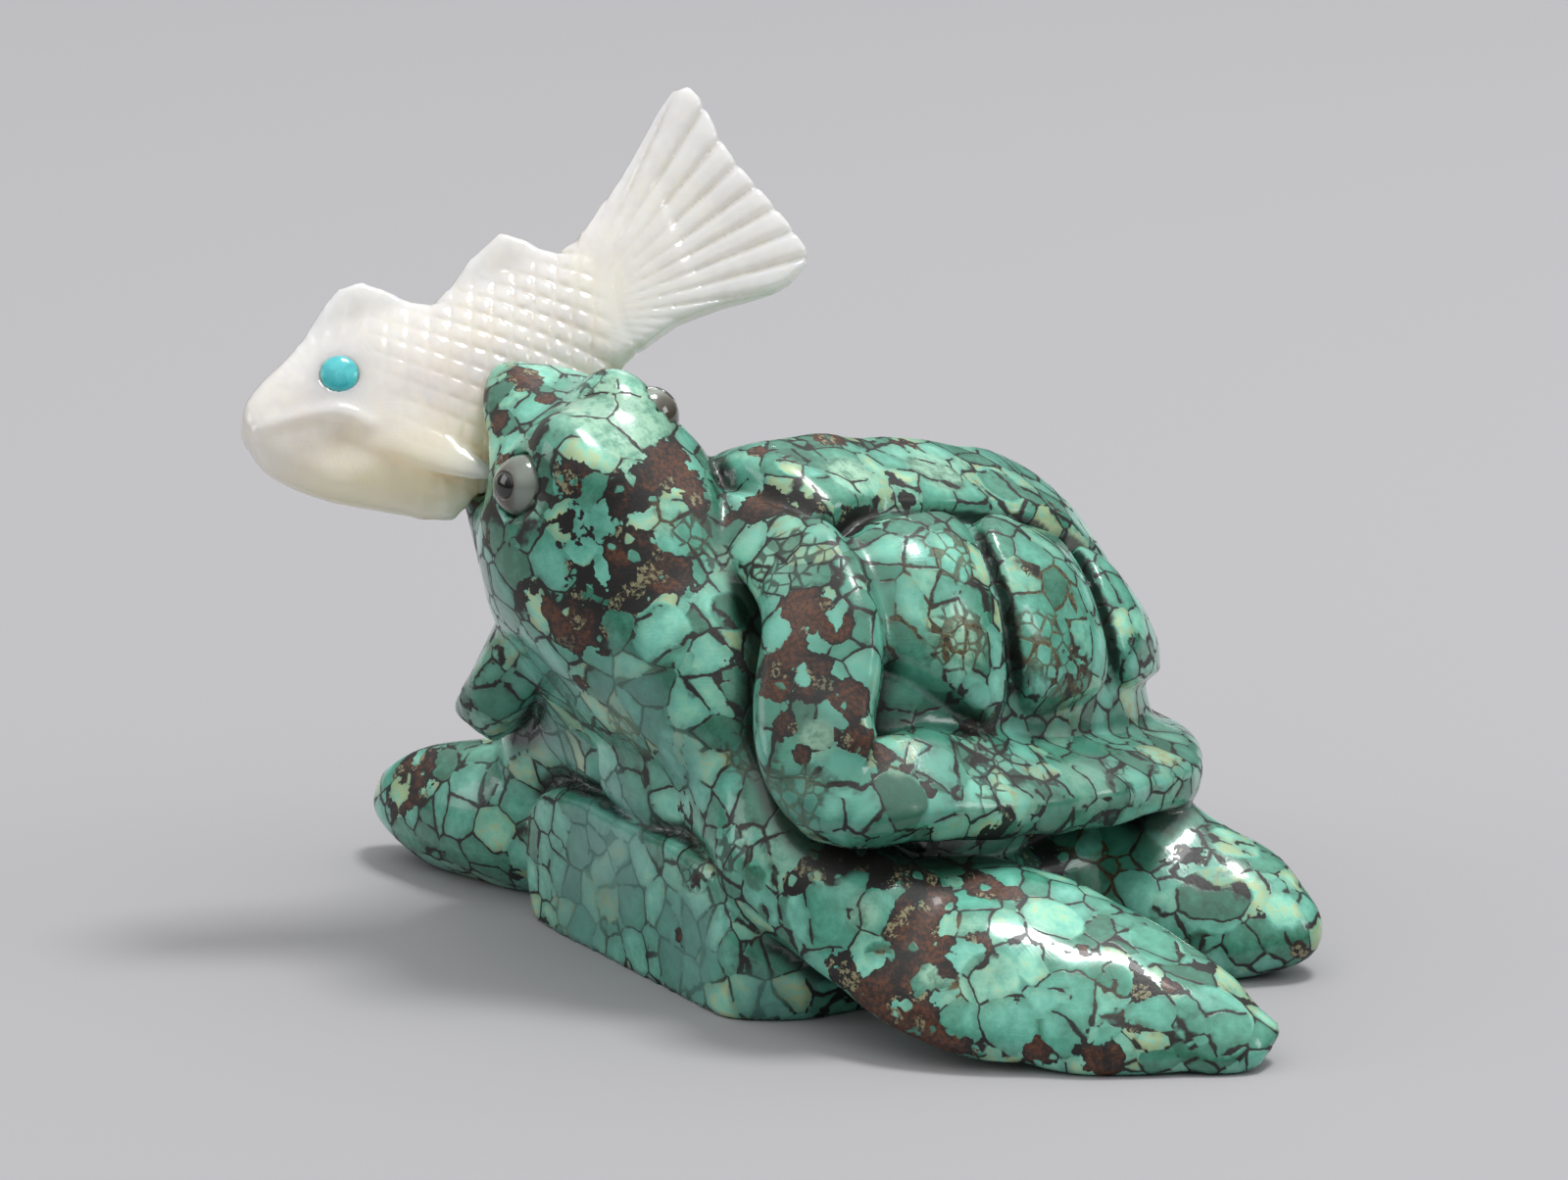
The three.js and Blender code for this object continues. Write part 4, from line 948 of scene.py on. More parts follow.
        Spot((12.4, -7.9, 12.5), 0.7, 0.8, 0.8), Spot((14.1, -8.3, 11.0), 1.4, coarse=1),
        Spot((12.9, -7.7, 12.1), 0.7, pale=1, ochre=0.6), Spot((13.8, -5.6, 11.7), 1.4, coarse=1),
        Spot((14.2, -6.9, 11.1), 0.6, 0.85, 0.7), Spot((13.2, -7.3, 11.9), 0.3, 0.8, 0.8),
        Spot((15.0, -3.8, 10.5), 1.0, 0.4, fine=1), Spot((13.3, -2.2, 11.6), 1.8, fine=0.9),
        Spot((15.5, -1.9, 9.8), 1.2, coarse=0.8), Spot((15.0, 2.2, 9.8), 1.5, pale=0.4, coarse=1),
        Spot((13.8, 1.6, 10.6), 0.9, coarse=0.6), Spot((14.9, -0.2, 10.3), 0.5, fine=1),
        Spot((15.3, 4.4, 9.5), 1.4, fine=0.3), Spot((14.2, 8.0, 9.5), 1.4, fine=0.3),
        Spot((14.1, -9.4, 9.4), 1.8, coarse=1), Spot((14.7, -6.5, 9.2), 1.4, 0.4),
        Spot((15.2, -3.4, 8.7), 1.4, 0.8), Spot((11.3, 2.8, 5.7), 1.4, 0.6, fine=1),
        Spot((11.7, 5.6, 5.7), 1.4, ochre=0.8), Spot((12.9, 5.6, 4.6), 1.4, ochre=0.6),
        # Near and rear flipper
        Spot((11.9, -11.4, 5.8), 1.5, coarse=1), Spot((14.0, -10.5, 6.1), 0.8, pale=0.6, coarse=0.5),
        Spot((15.0, -10.5, 4.5), 0.8, ochre=1, coarse=0.6), Spot((11.9, -10.3, 7.8), 1.2, 0.75, fine=0.5),
        Spot((13.4, -8.8, 7.6), 1.1, 0.85), Spot((14.5, -7.5, 7.1), 1.3, 0.9, 0.4),
        Spot((15.6, -8.8, 5.6), 1.5, 1, 0.9), Spot((15.6, -7.3, 6.4), 0.9, 0.9, 0.8),
        Spot((16.0, -5.1, 6.7), 1.1, 0.9, 1), Spot((17.1, -4.6, 6.6), 0.7, 0.8, 1),
        Spot((15.0, -5.9, 6.9), 0.5, pale=0.5, coarse=0.5), Spot((17.1, -9.0, 4.7), 1.4, 1, 0.8),
        Spot((16.4, -10.4, 3.7), 1.4, 1, 0.6), Spot((15.4, -11.2, 2.8), 1.5, 1, 0.9),
        Spot((17.3, -10.7, 1.8), 1.6, 1, 1), Spot((18.7, -9.9, 1.1), 1.4, 1, 0.8),
        Spot((13.7, -11.4, 3.7), 1.1, 0.8, 0.5), Spot((17.4, -9.5, 4.0), 0.6, pale=0.8, ochre=1),
        Spot((18.5, -9.1, 3.5), 0.6, pale=0.6, ochre=1), Spot((17.3, -7.4, 5.7), 0.7, pale=0.6, ochre=1),
        Spot((18.2, -7.5, 5.3), 0.9, 0.6, 0.7), Spot((20.5, -8.4, 2.3), 1.7, coarse=1),
        Spot((19.4, -8.0, 3.9), 1.4, pale=0.3, coarse=1), Spot((20.6, -6.0, 4.4), 1.2, coarse=1),
        Spot((19.3, -4.0, 5.7), 1.4, coarse=1), Spot((19.3, -6.1, 5.2), 1.1, 0.35),
        Spot((21.2, -4.1, 4.8), 0.5, 0.85, 0.9), Spot((22.6, -4.4, 3.7), 1.5, ochre=0.4, coarse=1),
        Spot((22.7, -6.4, 2.1), 1.4, coarse=0.8), Spot((24.2, -4.4, 2.1), 1.2, 0.3, 0.5),
        Spot((23.8, -3.1, 3.5), 0.8, 0.85, 0.3), Spot((24.4, -1.9, 3.6), 0.6, 0.8, 0.6),
        Spot((23.0, -2.6, 4.3), 0.5, 0.7, 0.3), Spot((24.8, -3.2, 2.6), 0.7, 0.3, 0.6, ochre=0.8),
        Spot((21.9, -7.4, 1.1), 1.0, 0.8, 0.8), Spot((23.9, -5.8, 0.8), 1.4, 0.7, 0.7),
        Spot((26.3, -1.2, 2.3), 1.9, coarse=1), Spot((22.3, -0.7, 4.6), 1.4, coarse=1),
        Spot((24.0, 0.6, 3.8), 0.7, 0.7), Spot((22.1, 1.0, 4.4), 0.5, 0.5),
        Spot((19.9, -0.2, 5.5), 1.2, coarse=0.6), Spot((17.3, 8.1, 3.9), 1.8, coarse=1),
        Spot((15.1, 8.7, 5.4), 1.2, 0.5), Spot((14.4, 7.5, 5.2), 0.6, 0.6),
        Spot((13.7, 8.6, 6.2), 1.2, pale=0.4, coarse=0.8), Spot((15.8, 10.9, 5.6), 1.4, coarse=0.8),
        Spot((19.4, 10.4, 3.2), 1.2, coarse=0.6), Spot((20.3, 10.5, 1.6), 0.6, 0.7, 0.6),
        Spot((19.0, 9.6, 3.3), 0.6, 0.6), Spot((16.4, 6.5, 3.3), 1.4, coarse=0.8),
        # Far flipper
        Spot((-14.8, -8.9, 7.1), 2.3, blue=0.5, coarse=0.3), Spot((-18.4, -10.2, 4.7), 1.4, blue=0.4),
        Spot((-9.3, -12.2, 12.6), 1.2, 0.3), Spot((-11.9, -7.7, 8.9), 0.7, 0.4, 0.5),
        # Far side and back
        Spot((-9.5, 3.0, 18.0), 4.0, ochre=0.8, fine=0.6), Spot((-12.0, -6.0, 13.0), 3.0, 0.85, 0.7),
        Spot((-11.0, 9.0, 13.0), 3.0, 0.6, 0.4), Spot((0.0, 13.0, 16.0), 4.0, pale=0.4, coarse=0.8),
        Spot((5.0, 16.5, 8.0), 3.0, 0.8, 0.7), Spot((-20.0, -7.0, 4.0), 2.4, 0.8, 0.6),
    )

    def __post_init__(self) -> None:
        """Places the masses of the body and the limbs."""
        self.body = Lump(Pose(self.body_centre, (0, -1, 0)), *self.body_reaches, self.body_powers)
        self.plastron = Lump(
            Pose(self.plastron_centre, self.front_facing), *self.plastron_reaches, self.plastron_powers
        )
        leaves = [self.front_left, self.front_right, self.rear_left, self.rear_left.mirrored()]
        self.ends = [*(leaf.mass() for leaf in leaves), Limb(self.tail)]
        roots = [self.left_shoulder, self.right_shoulder, self.hip, mirrored(self.hip)]
        self.roots = [Limb(rows) for rows in roots]

    def form(self, points: Array) -> Array:
        """Signed distance to the whole turtle as it was first cut, without the ground and the sockets."""
        front = joined(self.head.necks, points, self.soft_blend, self.head.distance(points))
        throat = Plane(self.throat, self.throat_facing).distance(points)
        front = smooth_common(front, throat, self.throat_blend)
        front = joined([self.body, *self.roots], points, self.soft_blend, front)
        form = smooth_union(self.shell.distance(points), front, self.slot_blend)
        face = Plane(self.front_face, self.front_facing).distance(points)
        plastron = smooth_common(self.plastron.distance(points), face, self.front_edge)
        groove = self.groove_depth * (1 - smooth_step(points[:, 2], *self.groove_fade))
        form = carved_union(form, plastron, groove, self.groove_width)
        form = joined(self.ends, points, self.crease_blend, form)
        return form + self.facet_depth * waves(points, self.facet_length, seed=3)

    def carve(self, fish: "Fish", eyes: Sequence["Eye"]) -> bpy.types.Object:
        """Makes the stone, flat below, with the mouth cut to the fish and a socket for each eye.

        Args:
            fish: What the mouth holds.
            eyes: The beads in the sockets.

        Returns:
            The turtle.
        """
        sockets = [eye.socket(self.socket_gap) for eye in eyes]

        def finished(points: Array) -> Array:
            form = np.maximum(self.form(points), -points[:, 2])
            near = np.abs(form) < FAR_AWAY
            close = points[near]
            mouth = self.mouth_gap - fish.distance(close)
            hollows = np.maximum.reduce([mouth, *(-socket.distance(close) for socket in sockets)])
            form[near] = np.maximum(form[near], hollows)
            return form

        points, faces = Sculptor(self.low, self.high, self.cell).surface(finished)
        points[:, 2] = np.maximum(points[:, 2], 0)
        piece = mesh_piece("carved_turtle", points, faces)
        self.mark(piece, points, finished)
        return piece

    def mark(self, piece: bpy.types.Object, points: Array, form: Distance) -> None:
        """Stores where the stone is creased and how its pattern changes from spot to spot.

        Args:
            piece: The turtle.
            points: Its points in millimetres.
            form: The signed distance that it was carved from.
        """
        # The crease values drive the painted shade in the creases.
        set_mask(piece, Mask.CREASE, creases(form, points, self.cell / 2, self.crease_reach))
        changes = {mask: np.zeros(len(points)) for mask in PATTERN}
        for spot in self.spots:
            away = np.linalg.norm(points - np.array(spot.place), axis=1)
            near = 1 - smooth_step(away, self.spot_core * spot.radius, self.spot_edge * spot.radius)
            for mask, values in changes.items():
                np.maximum(values, getattr(spot, mask.value) * near, out=values)
        for mask, values in changes.items():
            set_mask(piece, mask, values)


@dataclass
class Eye:
    """A grey shell bead that looks out and up, with a black pupil let into its end."""

    side: Side
    head: Head
    away: float
    up: float
    ahead: float
    look: Triple = (0.17, 0.86, 0.48)
    diameter: float = 2.9
    length: float = 3.2
    pupil_diameter: float = 1.15
    pupil_length: float = 1.2
    gap: float = 0.04
    rings: int = 24
    pupil_rings: int = 8
    pupil_sides: int = 40

    def __post_init__(self) -> None:
        """Works out where it is and where it looks."""
        forward, side, up = self.look
        self.axis = unit(np.array((forward, side * self.side.value, up)) @ self.head.pose.axes)
        self.place = self.head.pose.at(self.ahead, self.side.value * self.away, self.up)

    def socket(self, gap: float) -> Lump:
        """The hollow that the bead sits in, with a gap all round."""
        reach, radius = self.length / 2 + gap, self.diameter / 2 + gap
        return Lump(Pose(self.place, self.axis), reach, reach, radius, radius, radius)

    def height(self, radius: float) -> float:
        """How high the egg is at a distance from its axis."""
        return self.length / 2 * math.sqrt(max(1 - (2 * radius / self.diameter) ** 2, 0))

    def build(self, name: str) -> tuple[bpy.types.Object, bpy.types.Object]:
        """Makes the bead and the pupil.

        Args:
            name: left or right.

        Returns:
            The bead and the pupil.
        """
        hole = self.pupil_diameter / 2
        floor = self.length / 2 - self.pupil_length
        start = math.asin(2 * (hole + self.gap) / self.diameter)
        angles = np.linspace(start, math.pi, self.rings)
        egg = [(math.sin(angle) * self.diameter / 2, math.cos(angle) * self.length / 2) for angle in angles]
        bead = [(0, floor - self.gap), (hole + self.gap, floor - self.gap), *egg[:-1], (0, -self.length / 2)]
        crown = [(hole * share, self.height(hole * share)) for share in np.linspace(0, 1, self.pupil_rings)]
        pupil = [*crown, (hole, floor), (0, floor)]
        return (
            lathe_piece(f"eye_bead_{name}", bead, self.place, self.axis),
            lathe_piece(f"eye_pupil_{name}", pupil, self.place, self.axis, self.pupil_sides),
        )


# The fish


@dataclass
class Fish:
    """The fish: a deep body with cut scales, thin fins and a fluted tail.

    Its own coordinates are the distance back from the bite, up towards the back fins, and to its side.
    """

    head: Head
    cell: float = 0.115
    low: Triple = (-13.0, -3.4, -4.0)
    high: Triple = (16.2, 3.4, 15.0)
    thickness: float = 3.2
    bite: Triple = (4.6, 0, -4.2)
    forward: Triple = (-0.43, -0.87, -0.23)
    up: Triple = (-0.58, 0.07, 0.81)
    stations: Rows = (
        (-12.3, 3.6, 0.3, 0.12), (-11.6, 3.4, 1.9, 0.6), (-9.4, 3.1, 3.5, 0.92), (-6.4, 2.8, 4.4, 1),
        (-2.8, 2.6, 4.7, 1), (0.4, 3.2, 4.2, 0.92), (3.6, 4.2, 3.6, 0.76), (6.2, 5.4, 3.1, 0.58),
        (9.5, 7.0, 2.4, 0.3),
    )
    fin_half_thickness: float = 0.5
    fin_rounding: float = 0.3
    fin_edge: float = 0.5
    fin_blend: float = 0.7
    fin_root: tuple[float, float] = (2.5, 2.0)
    fan_edge: float = 0.35
    fins: Sequence[Rows] = (
        ((-9.7, 5.2), (-8.3, 6.9), (-6.9, 8.2), (-5.8, 9.0), (-4.8, 9.0), (-3.7, 8.1), (-2.5, 6.7)),
        ((-1.8, 6.0), (-1.0, 7.4), (0.5, 8.6), (2.1, 9.4), (3.0, 8.8), (4.4, 7.0)),
        ((-8.8, 0.2), (-6.9, -1.3), (-5.6, -2.2), (-4.4, -2.6), (-3.8, -2.2), (-3.4, -1.0), (-3.2, 0.8)),
    )
    fin_rays: tuple[float, ...] = (16.0, 10.0, 14.0)
    ray_depth: float = 0.09
    tail_root: tuple[float, float] = (3.6, 4.3)
    tail_fan: Rows = (
        (6.0, 8.2), (8.4, 10.2), (10.3, 12.0), (12.3, 13.8), (13.0, 13.2), (13.2, 11.2), (13.6, 9.5),
        (14.5, 7.1), (15.2, 4.7), (14.7, 4.0), (13.3, 3.4), (10.9, 3.5), (8.4, 3.3), (5.2, 2.6), (4.6, 5.4),
    )
    flutes: int = 9
    flute_depth: float = 0.3
    tail_spread: float = 62.0
    tail_half_thickness: tuple[float, float] = (0.85, 0.5)
    tail_reach: float = 12.0
    scale_pitch: tuple[float, float] = (0.94, 0.9)
    scale_normals: Rows = ((0.924, -0.383), (0.626, 0.781))
    scale_height: float = 0.17
    scale_sunk: float = 0.6
    scale_start: tuple[float, float] = (-6.0, -4.4)
    scale_end: tuple[float, float] = (4.9, 5.9)
    scale_fade: tuple[float, float] = (-4.5, 2.5)
    scale_least: float = 0.35
    side_fin: tuple[float, ...] = (3.1, 3.3, 0.85, 0.35, 0.4)
    side_fin_out: float = 1.4
    side_fin_back: float = 4.5
    side_fin_lie: tuple[float, float] = (-2.25, -2.0)
    side_fin_splay: float = 0.4
    side_fin_powers: Triple = (1.5, 2, 2)
    cheek: Rows = ((-11.6, 3.6), (-10.2, 3.5), (-8.6, 3.3), (-7.6, 2.9), (-6.8, 2.1))
    cheek_rise: float = 0.2
    cheek_width: float = 0.4
    hollow: tuple[float, ...] = (-8.4, 1.7, 1.5, 1.0)
    hollow_depth: float = 0.3
    cut_before_tail: Rows = ((8.0, 8.4), (6.9, 6.6), (6.2, 5.0), (6.0, 3.4), (6.3, 2.4))
    cut_depth: float = 0.16
    cut_width: float = 0.22
    dot_place: tuple[float, float] = (-7.3, 4.9)
    belly: tuple[float, float] = (-0.5, 3.0)
    crease_reach: float = 0.35

    def __post_init__(self) -> None:
        """Places the fish in the mouth and smooths its lines."""
        self.pose = Pose(self.head.pose.at(*self.bite), self.forward, self.up)
        self.line = smooth_line(self.stations, 4)
        self.fan = smooth_line(self.tail_fan, 2, closed=True)[1:]
        self.cheek_line, self.tail_cut = smooth_line(self.cheek, 3), smooth_line(self.cut_before_tail, 3)
        self.side_fins = [self.side_fin_on(side.value) for side in Side]

    def side_fin_on(self, sign: int) -> Lump:
        """The fin on one side, which lies back along the belly and stands a little away from it."""
        back, down = self.side_fin_lie
        pose = Pose(
            (self.side_fin_back, sign * self.side_fin_out, 0), (back, sign * self.side_fin_splay, down),
            (0, sign, 0.2),
        )
        return Lump(pose, *self.side_fin, self.side_fin_powers)

    def own(self, points: Array) -> Array:
        """World points as rows of back, side and up in the fish."""
        local = self.pose.local(points)
        local[:, 0] *= -1
        return local

    def world(self, points: Array) -> Array:
        """Rows of back, side and up in the fish as world points."""
        return np.asarray(self.pose.origin) + (points * np.array([-1, 1, 1])) @ self.pose.axes

    def distance(self, points: Array) -> Array:
        """Signed distance to the fish at world points."""
        return self.form(self.own(points))

    def body(self, back: Array, side: Array, up: Array) -> Array:
        """Signed distance to the body, whose cross-section is an oval."""
        line = self.line
        middle, half, fullness = (np.interp(back, line[:, 0], line[:, k]) for k in (1, 2, 3))
        thick = fullness * self.thickness / 2
        a, b = (up - middle) / half, side / thick
        level = np.sqrt(a * a + b * b)
        slope = np.hypot(a / half, b / thick) / np.maximum(level, TINY)
        inner = (level - 1) * np.minimum(half, thick)
        across = np.where(level < 1, inner, (level - 1) / np.maximum(slope, TINY))
        beyond = np.abs(back - np.clip(back, line[0, 0], line[-1, 0]))
        return np.where(beyond > 0, np.hypot(np.maximum(across, 0), beyond), across)

    def scales(self, back: Array, up: Array) -> Array:
        """Height of the scales over the grooves between them: small cushions in a slanting grid."""
        rise = np.ones(back.shape)
        for (u, v), pitch in zip(self.scale_normals, self.scale_pitch):
            share = (back * u + up * v) / pitch
            rise *= 1 - np.abs(2 * (share - np.floor(share)) - 1) ** 3
        return self.scale_height * rise

    def face(self, back: Array, up: Array) -> Array:
        """How deep the sides are cut: a cheek ridge with a hollow under it, and a groove before the tail."""
        to_cheek, _ = line_distance(self.cheek_line, back, up)
        to_cut, _ = line_distance(self.tail_cut, back, up)
        u, v, reach, lift = self.hollow
        hollow = np.exp(-(((back - u) / reach) ** 2) - ((up - v) / lift) ** 2)
        depth = self.hollow_depth * hollow + self.cut_depth * bell(to_cut, self.cut_width)
        return depth - self.cheek_rise * bell(to_cheek, self.cheek_width)

    def form(self, own: Array) -> Array:
        """Signed distance to the fish in its own coordinates.

        Args:
            own: Rows of back, side and up.

        Returns:
            A distance for each point.
        """
        back, side, up = own.T
        scaled = smooth_step(back, *self.scale_start) * (1 - smooth_step(back, *self.scale_end))
        scaled *= self.scale_least + (1 - self.scale_least) * smooth_step(back, *self.scale_fade)
        sunk = self.scale_height * self.scale_sunk
        form = self.body(back, side, up) + scaled * (sunk - self.scales(back, up))
        form += self.face(back, up)
        for outline, rays in zip(self.fins, self.fin_rays):
            points = np.array(outline)
            root = (points[0] + points[-1]) / 2 - np.array(self.fin_root) * (1 if points[0][1] > 2 else -1)
            angle = np.arctan2(up - root[1], back - root[0])
            rise = self.ray_depth * np.abs(np.sin(angle * rays))
            flat = outline_distance(points, back, up) - self.fin_rounding
            thin = np.abs(side) - self.fin_half_thickness + rise
            form = smooth_union(form, smooth_common(flat, thin, self.fin_edge), self.fin_blend)
        reach = np.clip(np.hypot(back - self.tail_root[0], up - self.tail_root[1]) / self.tail_reach, 0, 1)
        angle = np.arctan2(up - self.tail_root[1], back - self.tail_root[0])
        valley = 1 - np.abs(np.sin(angle * self.flutes * 180 / self.tail_spread))
        thick_root, thick_edge = self.tail_half_thickness
        half = thick_root + (thick_edge - thick_root) * reach - self.flute_depth * valley**2 * reach
        flat = outline_distance(self.fan, back, up) - self.fin_rounding
        form = smooth_union(form, smooth_common(flat, np.abs(side) - half, self.fan_edge), self.fin_blend)
        own_forward = np.stack([-back, side, up], 1)
        return joined(self.side_fins, own_forward, self.fin_blend, form)

    def carve(self) -> bpy.types.Object:
        """Makes the fish.

        Returns:
            The fish, with its creases and its warm belly stored for the material.
        """
        sockets = [Dot(self, side) for side in Side]

        def finished(own: Array) -> Array:
            form = self.form(own)
            for dot in sockets:
                form = np.maximum(form, -dot.hollow(own))
            return form

        sculptor = Sculptor(self.low, self.high, self.cell)
        points, faces = sculptor.surface(finished)
        piece = mesh_piece("carved_fish", self.world(points), faces)
        # The crease values drive the painted shade in the creases.
        set_mask(piece, Mask.CREASE, creases(finished, points, self.cell / 2, self.crease_reach))
        set_mask(piece, Mask.OCHRE, 1 - smooth_step(points[:, 2], *self.belly))
        return piece


@dataclass
class Dot:
    """A small round turquoise inlay with a low crown, in the side of the fish's head."""

    fish: Fish
    side: Side
    diameter: float = 1.75
    depth: float = 1.0
    share: float = 0.84
    crown: float = 0.18
    gap: float = 0.03
    rings: int = 10
    sides: int = 48

    def hollow(self, own: Array) -> Array:
        """Signed distance to its socket in the fish's own coordinates."""
        back, side, up = own.T
        u, v = self.fish.dot_place
        around = np.hypot(back - u, up - v) - self.diameter / 2 - self.gap
        foot = self.share * self.fish.thickness / 2 - self.depth - self.gap
        return np.maximum(around, foot - side * self.side.value)

    def build(self, name: str) -> bpy.types.Object:
        """Makes the inlay.

        Args:
            name: left or right.

        Returns:
            The inlay.
        """
        u, v = self.fish.dot_place
        half = self.fish.thickness / 2
        place = self.fish.world(np.array([[u, self.side.value * self.share * half, v]]))[0]
        axis = self.fish.pose.axes[1] * self.side.value
        radius = self.diameter / 2
        turns = np.linspace(0, math.pi / 2, self.rings)
        crown = [(math.sin(a) * radius, math.cos(a) * self.crown * self.diameter) for a in turns]
        profile = [*crown, (radius, -self.depth), (0, -self.depth)]
        return lathe_piece(f"fish_dot_{name}", profile, place, axis, self.sides)


# Nodes


class Bench:
    """Lays nodes into a node tree and joins them."""

    def __init__(self, tree: bpy.types.NodeTree) -> None:
        """Starts on a tree."""
        self.tree = tree

    def feed(self, socket: bpy.types.NodeSocket, value: object) -> None:
        """Links a socket to an input, or sets its value."""
        if isinstance(value, bpy.types.NodeSocket):
            self.tree.links.new(value, socket)
        elif value is not None:
            socket.default_value = value

    def node(self, kind: str, inputs: dict[str | int, object] | None = None, **settings: object
             ) -> bpy.types.Node:
        """Adds a node.

        Args:
            kind: Its type, without the words ShaderNode.
            inputs: Values or outputs of other nodes for its inputs.
            settings: Its own settings.

        Returns:
            The node.
        """
        node = self.tree.nodes.new("ShaderNode" + kind)
        for name, value in settings.items():
            setattr(node, name, value)
        for name, value in (inputs or {}).items():
            self.feed(node.inputs[name], value)
        return node

    def math(self, operation: str, *values: object, clamp: bool = False) -> bpy.types.NodeSocket:
        """A sum or other operation on numbers."""
        node = self.node("Math", dict(enumerate(values)), operation=operation, use_clamp=clamp)
        return node.outputs[0]

    def vector(self, operation: str, a: object, b: object = None, scale: object = None
               ) -> bpy.types.NodeSocket:
        """An operation on vectors."""
        node = self.node("VectorMath", {0: a}, operation=operation)
        if b is not None:
            self.feed(node.inputs[1], b)
        if scale is not None:
            self.feed(node.inputs["Scale"], scale)
        return node.outputs[0]

    def band(self, value: object, low: object, high: object, start: object = 0.0, end: object = 1.0
             ) -> bpy.types.NodeSocket:
        """Rises softly from start to end while the value goes from low to high."""
        inputs = {"Value": value, "From Min": low, "From Max": high, "To Min": start, "To Max": end}
        return self.node("MapRange", inputs, interpolation_type="SMOOTHSTEP").outputs["Result"]

    def mix(self, share: object, a: object, b: object) -> bpy.types.NodeSocket:
        """Mixes two colours."""
        node = self.node("Mix", data_type="RGBA")
        for socket, value in zip((node.inputs[0], node.inputs[6], node.inputs[7]), (share, a, b)):
            self.feed(socket, value)
        return node.outputs[2]

    def blend(self, share: object, a: object, b: object) -> bpy.types.NodeSocket:
        """Mixes two numbers."""
        node = self.node("Mix", data_type="FLOAT")
        for socket, value in zip((node.inputs[0], node.inputs[2], node.inputs[3]), (share, a, b)):
            self.feed(socket, value)
        return node.outputs[0]

    def noise(self, place: object, scale: float, detail: float = 2.0, rough: float = 0.5) -> bpy.types.Node:
        """A noise texture."""
        inputs = {"Vector": place, "Scale": scale, "Detail": detail, "Roughness": rough}
        return self.node("TexNoise", inputs)

    def ramp(self, value: object, stops: Sequence[tuple[float, tuple[float, ...]]]) -> bpy.types.NodeSocket:
        """Colours along a value.

        Args:
            value: What picks the colour.
            stops: Place and colour of each stop.

        Returns:
            The colour.
        """
        node = self.node("ValToRGB", {0: value})
        elements = node.color_ramp.elements
        while len(elements) < len(stops):
            elements.new(0.5)
        for element, (place, colour) in zip(elements, stops):
            element.position = place
            element.color = colour
        return node.outputs[0]

    def around(self, value: object, noises: Sequence[tuple[object, float]]) -> bpy.types.NodeSocket:
        """A value that noises, each with its own share, push up and down."""
        for noise, share in noises:
            value = self.math("MULTIPLY_ADD", self.math("SUBTRACT", noise, 0.5), share, value)
        return value

    def mask(self, mask: Mask) -> bpy.types.NodeSocket:
        """A value that the mesh carries."""
        return self.node("Attribute", attribute_name=mask.value).outputs["Fac"]

    def millimetres(self) -> bpy.types.NodeSocket:
        """The place in the object, in millimetres."""
        return self.vector("SCALE", self.node("TexCoord").outputs["Object"], scale=1 / MM)

    def use(self, group: bpy.types.NodeTree, inputs: dict[str, object]) -> bpy.types.Node:
        """Places a node group with its own values."""
        node = self.node("Group", node_tree=group)
        for name, value in inputs.items():
            self.feed(node.inputs[name], value)
        return node


def paint(red: int, green: int, blue: int) -> tuple[float, float, float, float]:
    """A colour given as it looks on a screen, from 0 to 255, as the linear one that shaders take."""
    def linear(value: int) -> float:
        share = value / 255
        return share / 12.92 if share <= 0.04045 else ((share + 0.055) / 1.055) ** 2.4

    return (linear(red), linear(green), linear(blue), 1.0)


class Effect:
    """A node group that is made once and used by several materials."""

    name = "effect"
    inputs: dict[str, float | tuple[float, ...]] = {}
    outputs: dict[str, str] = {}

    @classmethod
    def group(cls) -> bpy.types.NodeTree:
        """The node group, made when it is first asked for."""
        made = bpy.data.node_groups.get(cls.name)
        if made is not None:
            return made
        tree = bpy.data.node_groups.new(cls.name, "ShaderNodeTree")
        for name, value in cls.inputs.items():
            kind = "NodeSocketColor" if isinstance(value, tuple) else "NodeSocketFloat"
            tree.interface.new_socket(name, in_out="INPUT", socket_type=kind).default_value = value
        for name, kind in cls.outputs.items():
            tree.interface.new_socket(name, in_out="OUTPUT", socket_type=kind)
        bench = Bench(tree)
        entry = tree.nodes.new("NodeGroupInput")
        leave = tree.nodes.new("NodeGroupOutput")
        for name, socket in cls.lay(bench, entry.outputs).items():
            tree.links.new(socket, leave.inputs[name])
        return tree

    @classmethod
    def lay(cls, bench: Bench, given: bpy.types.NodeOutputs) -> dict[str, bpy.types.NodeSocket]:
        """Lays the nodes of the group and returns what each output shows."""
        raise NotImplementedError


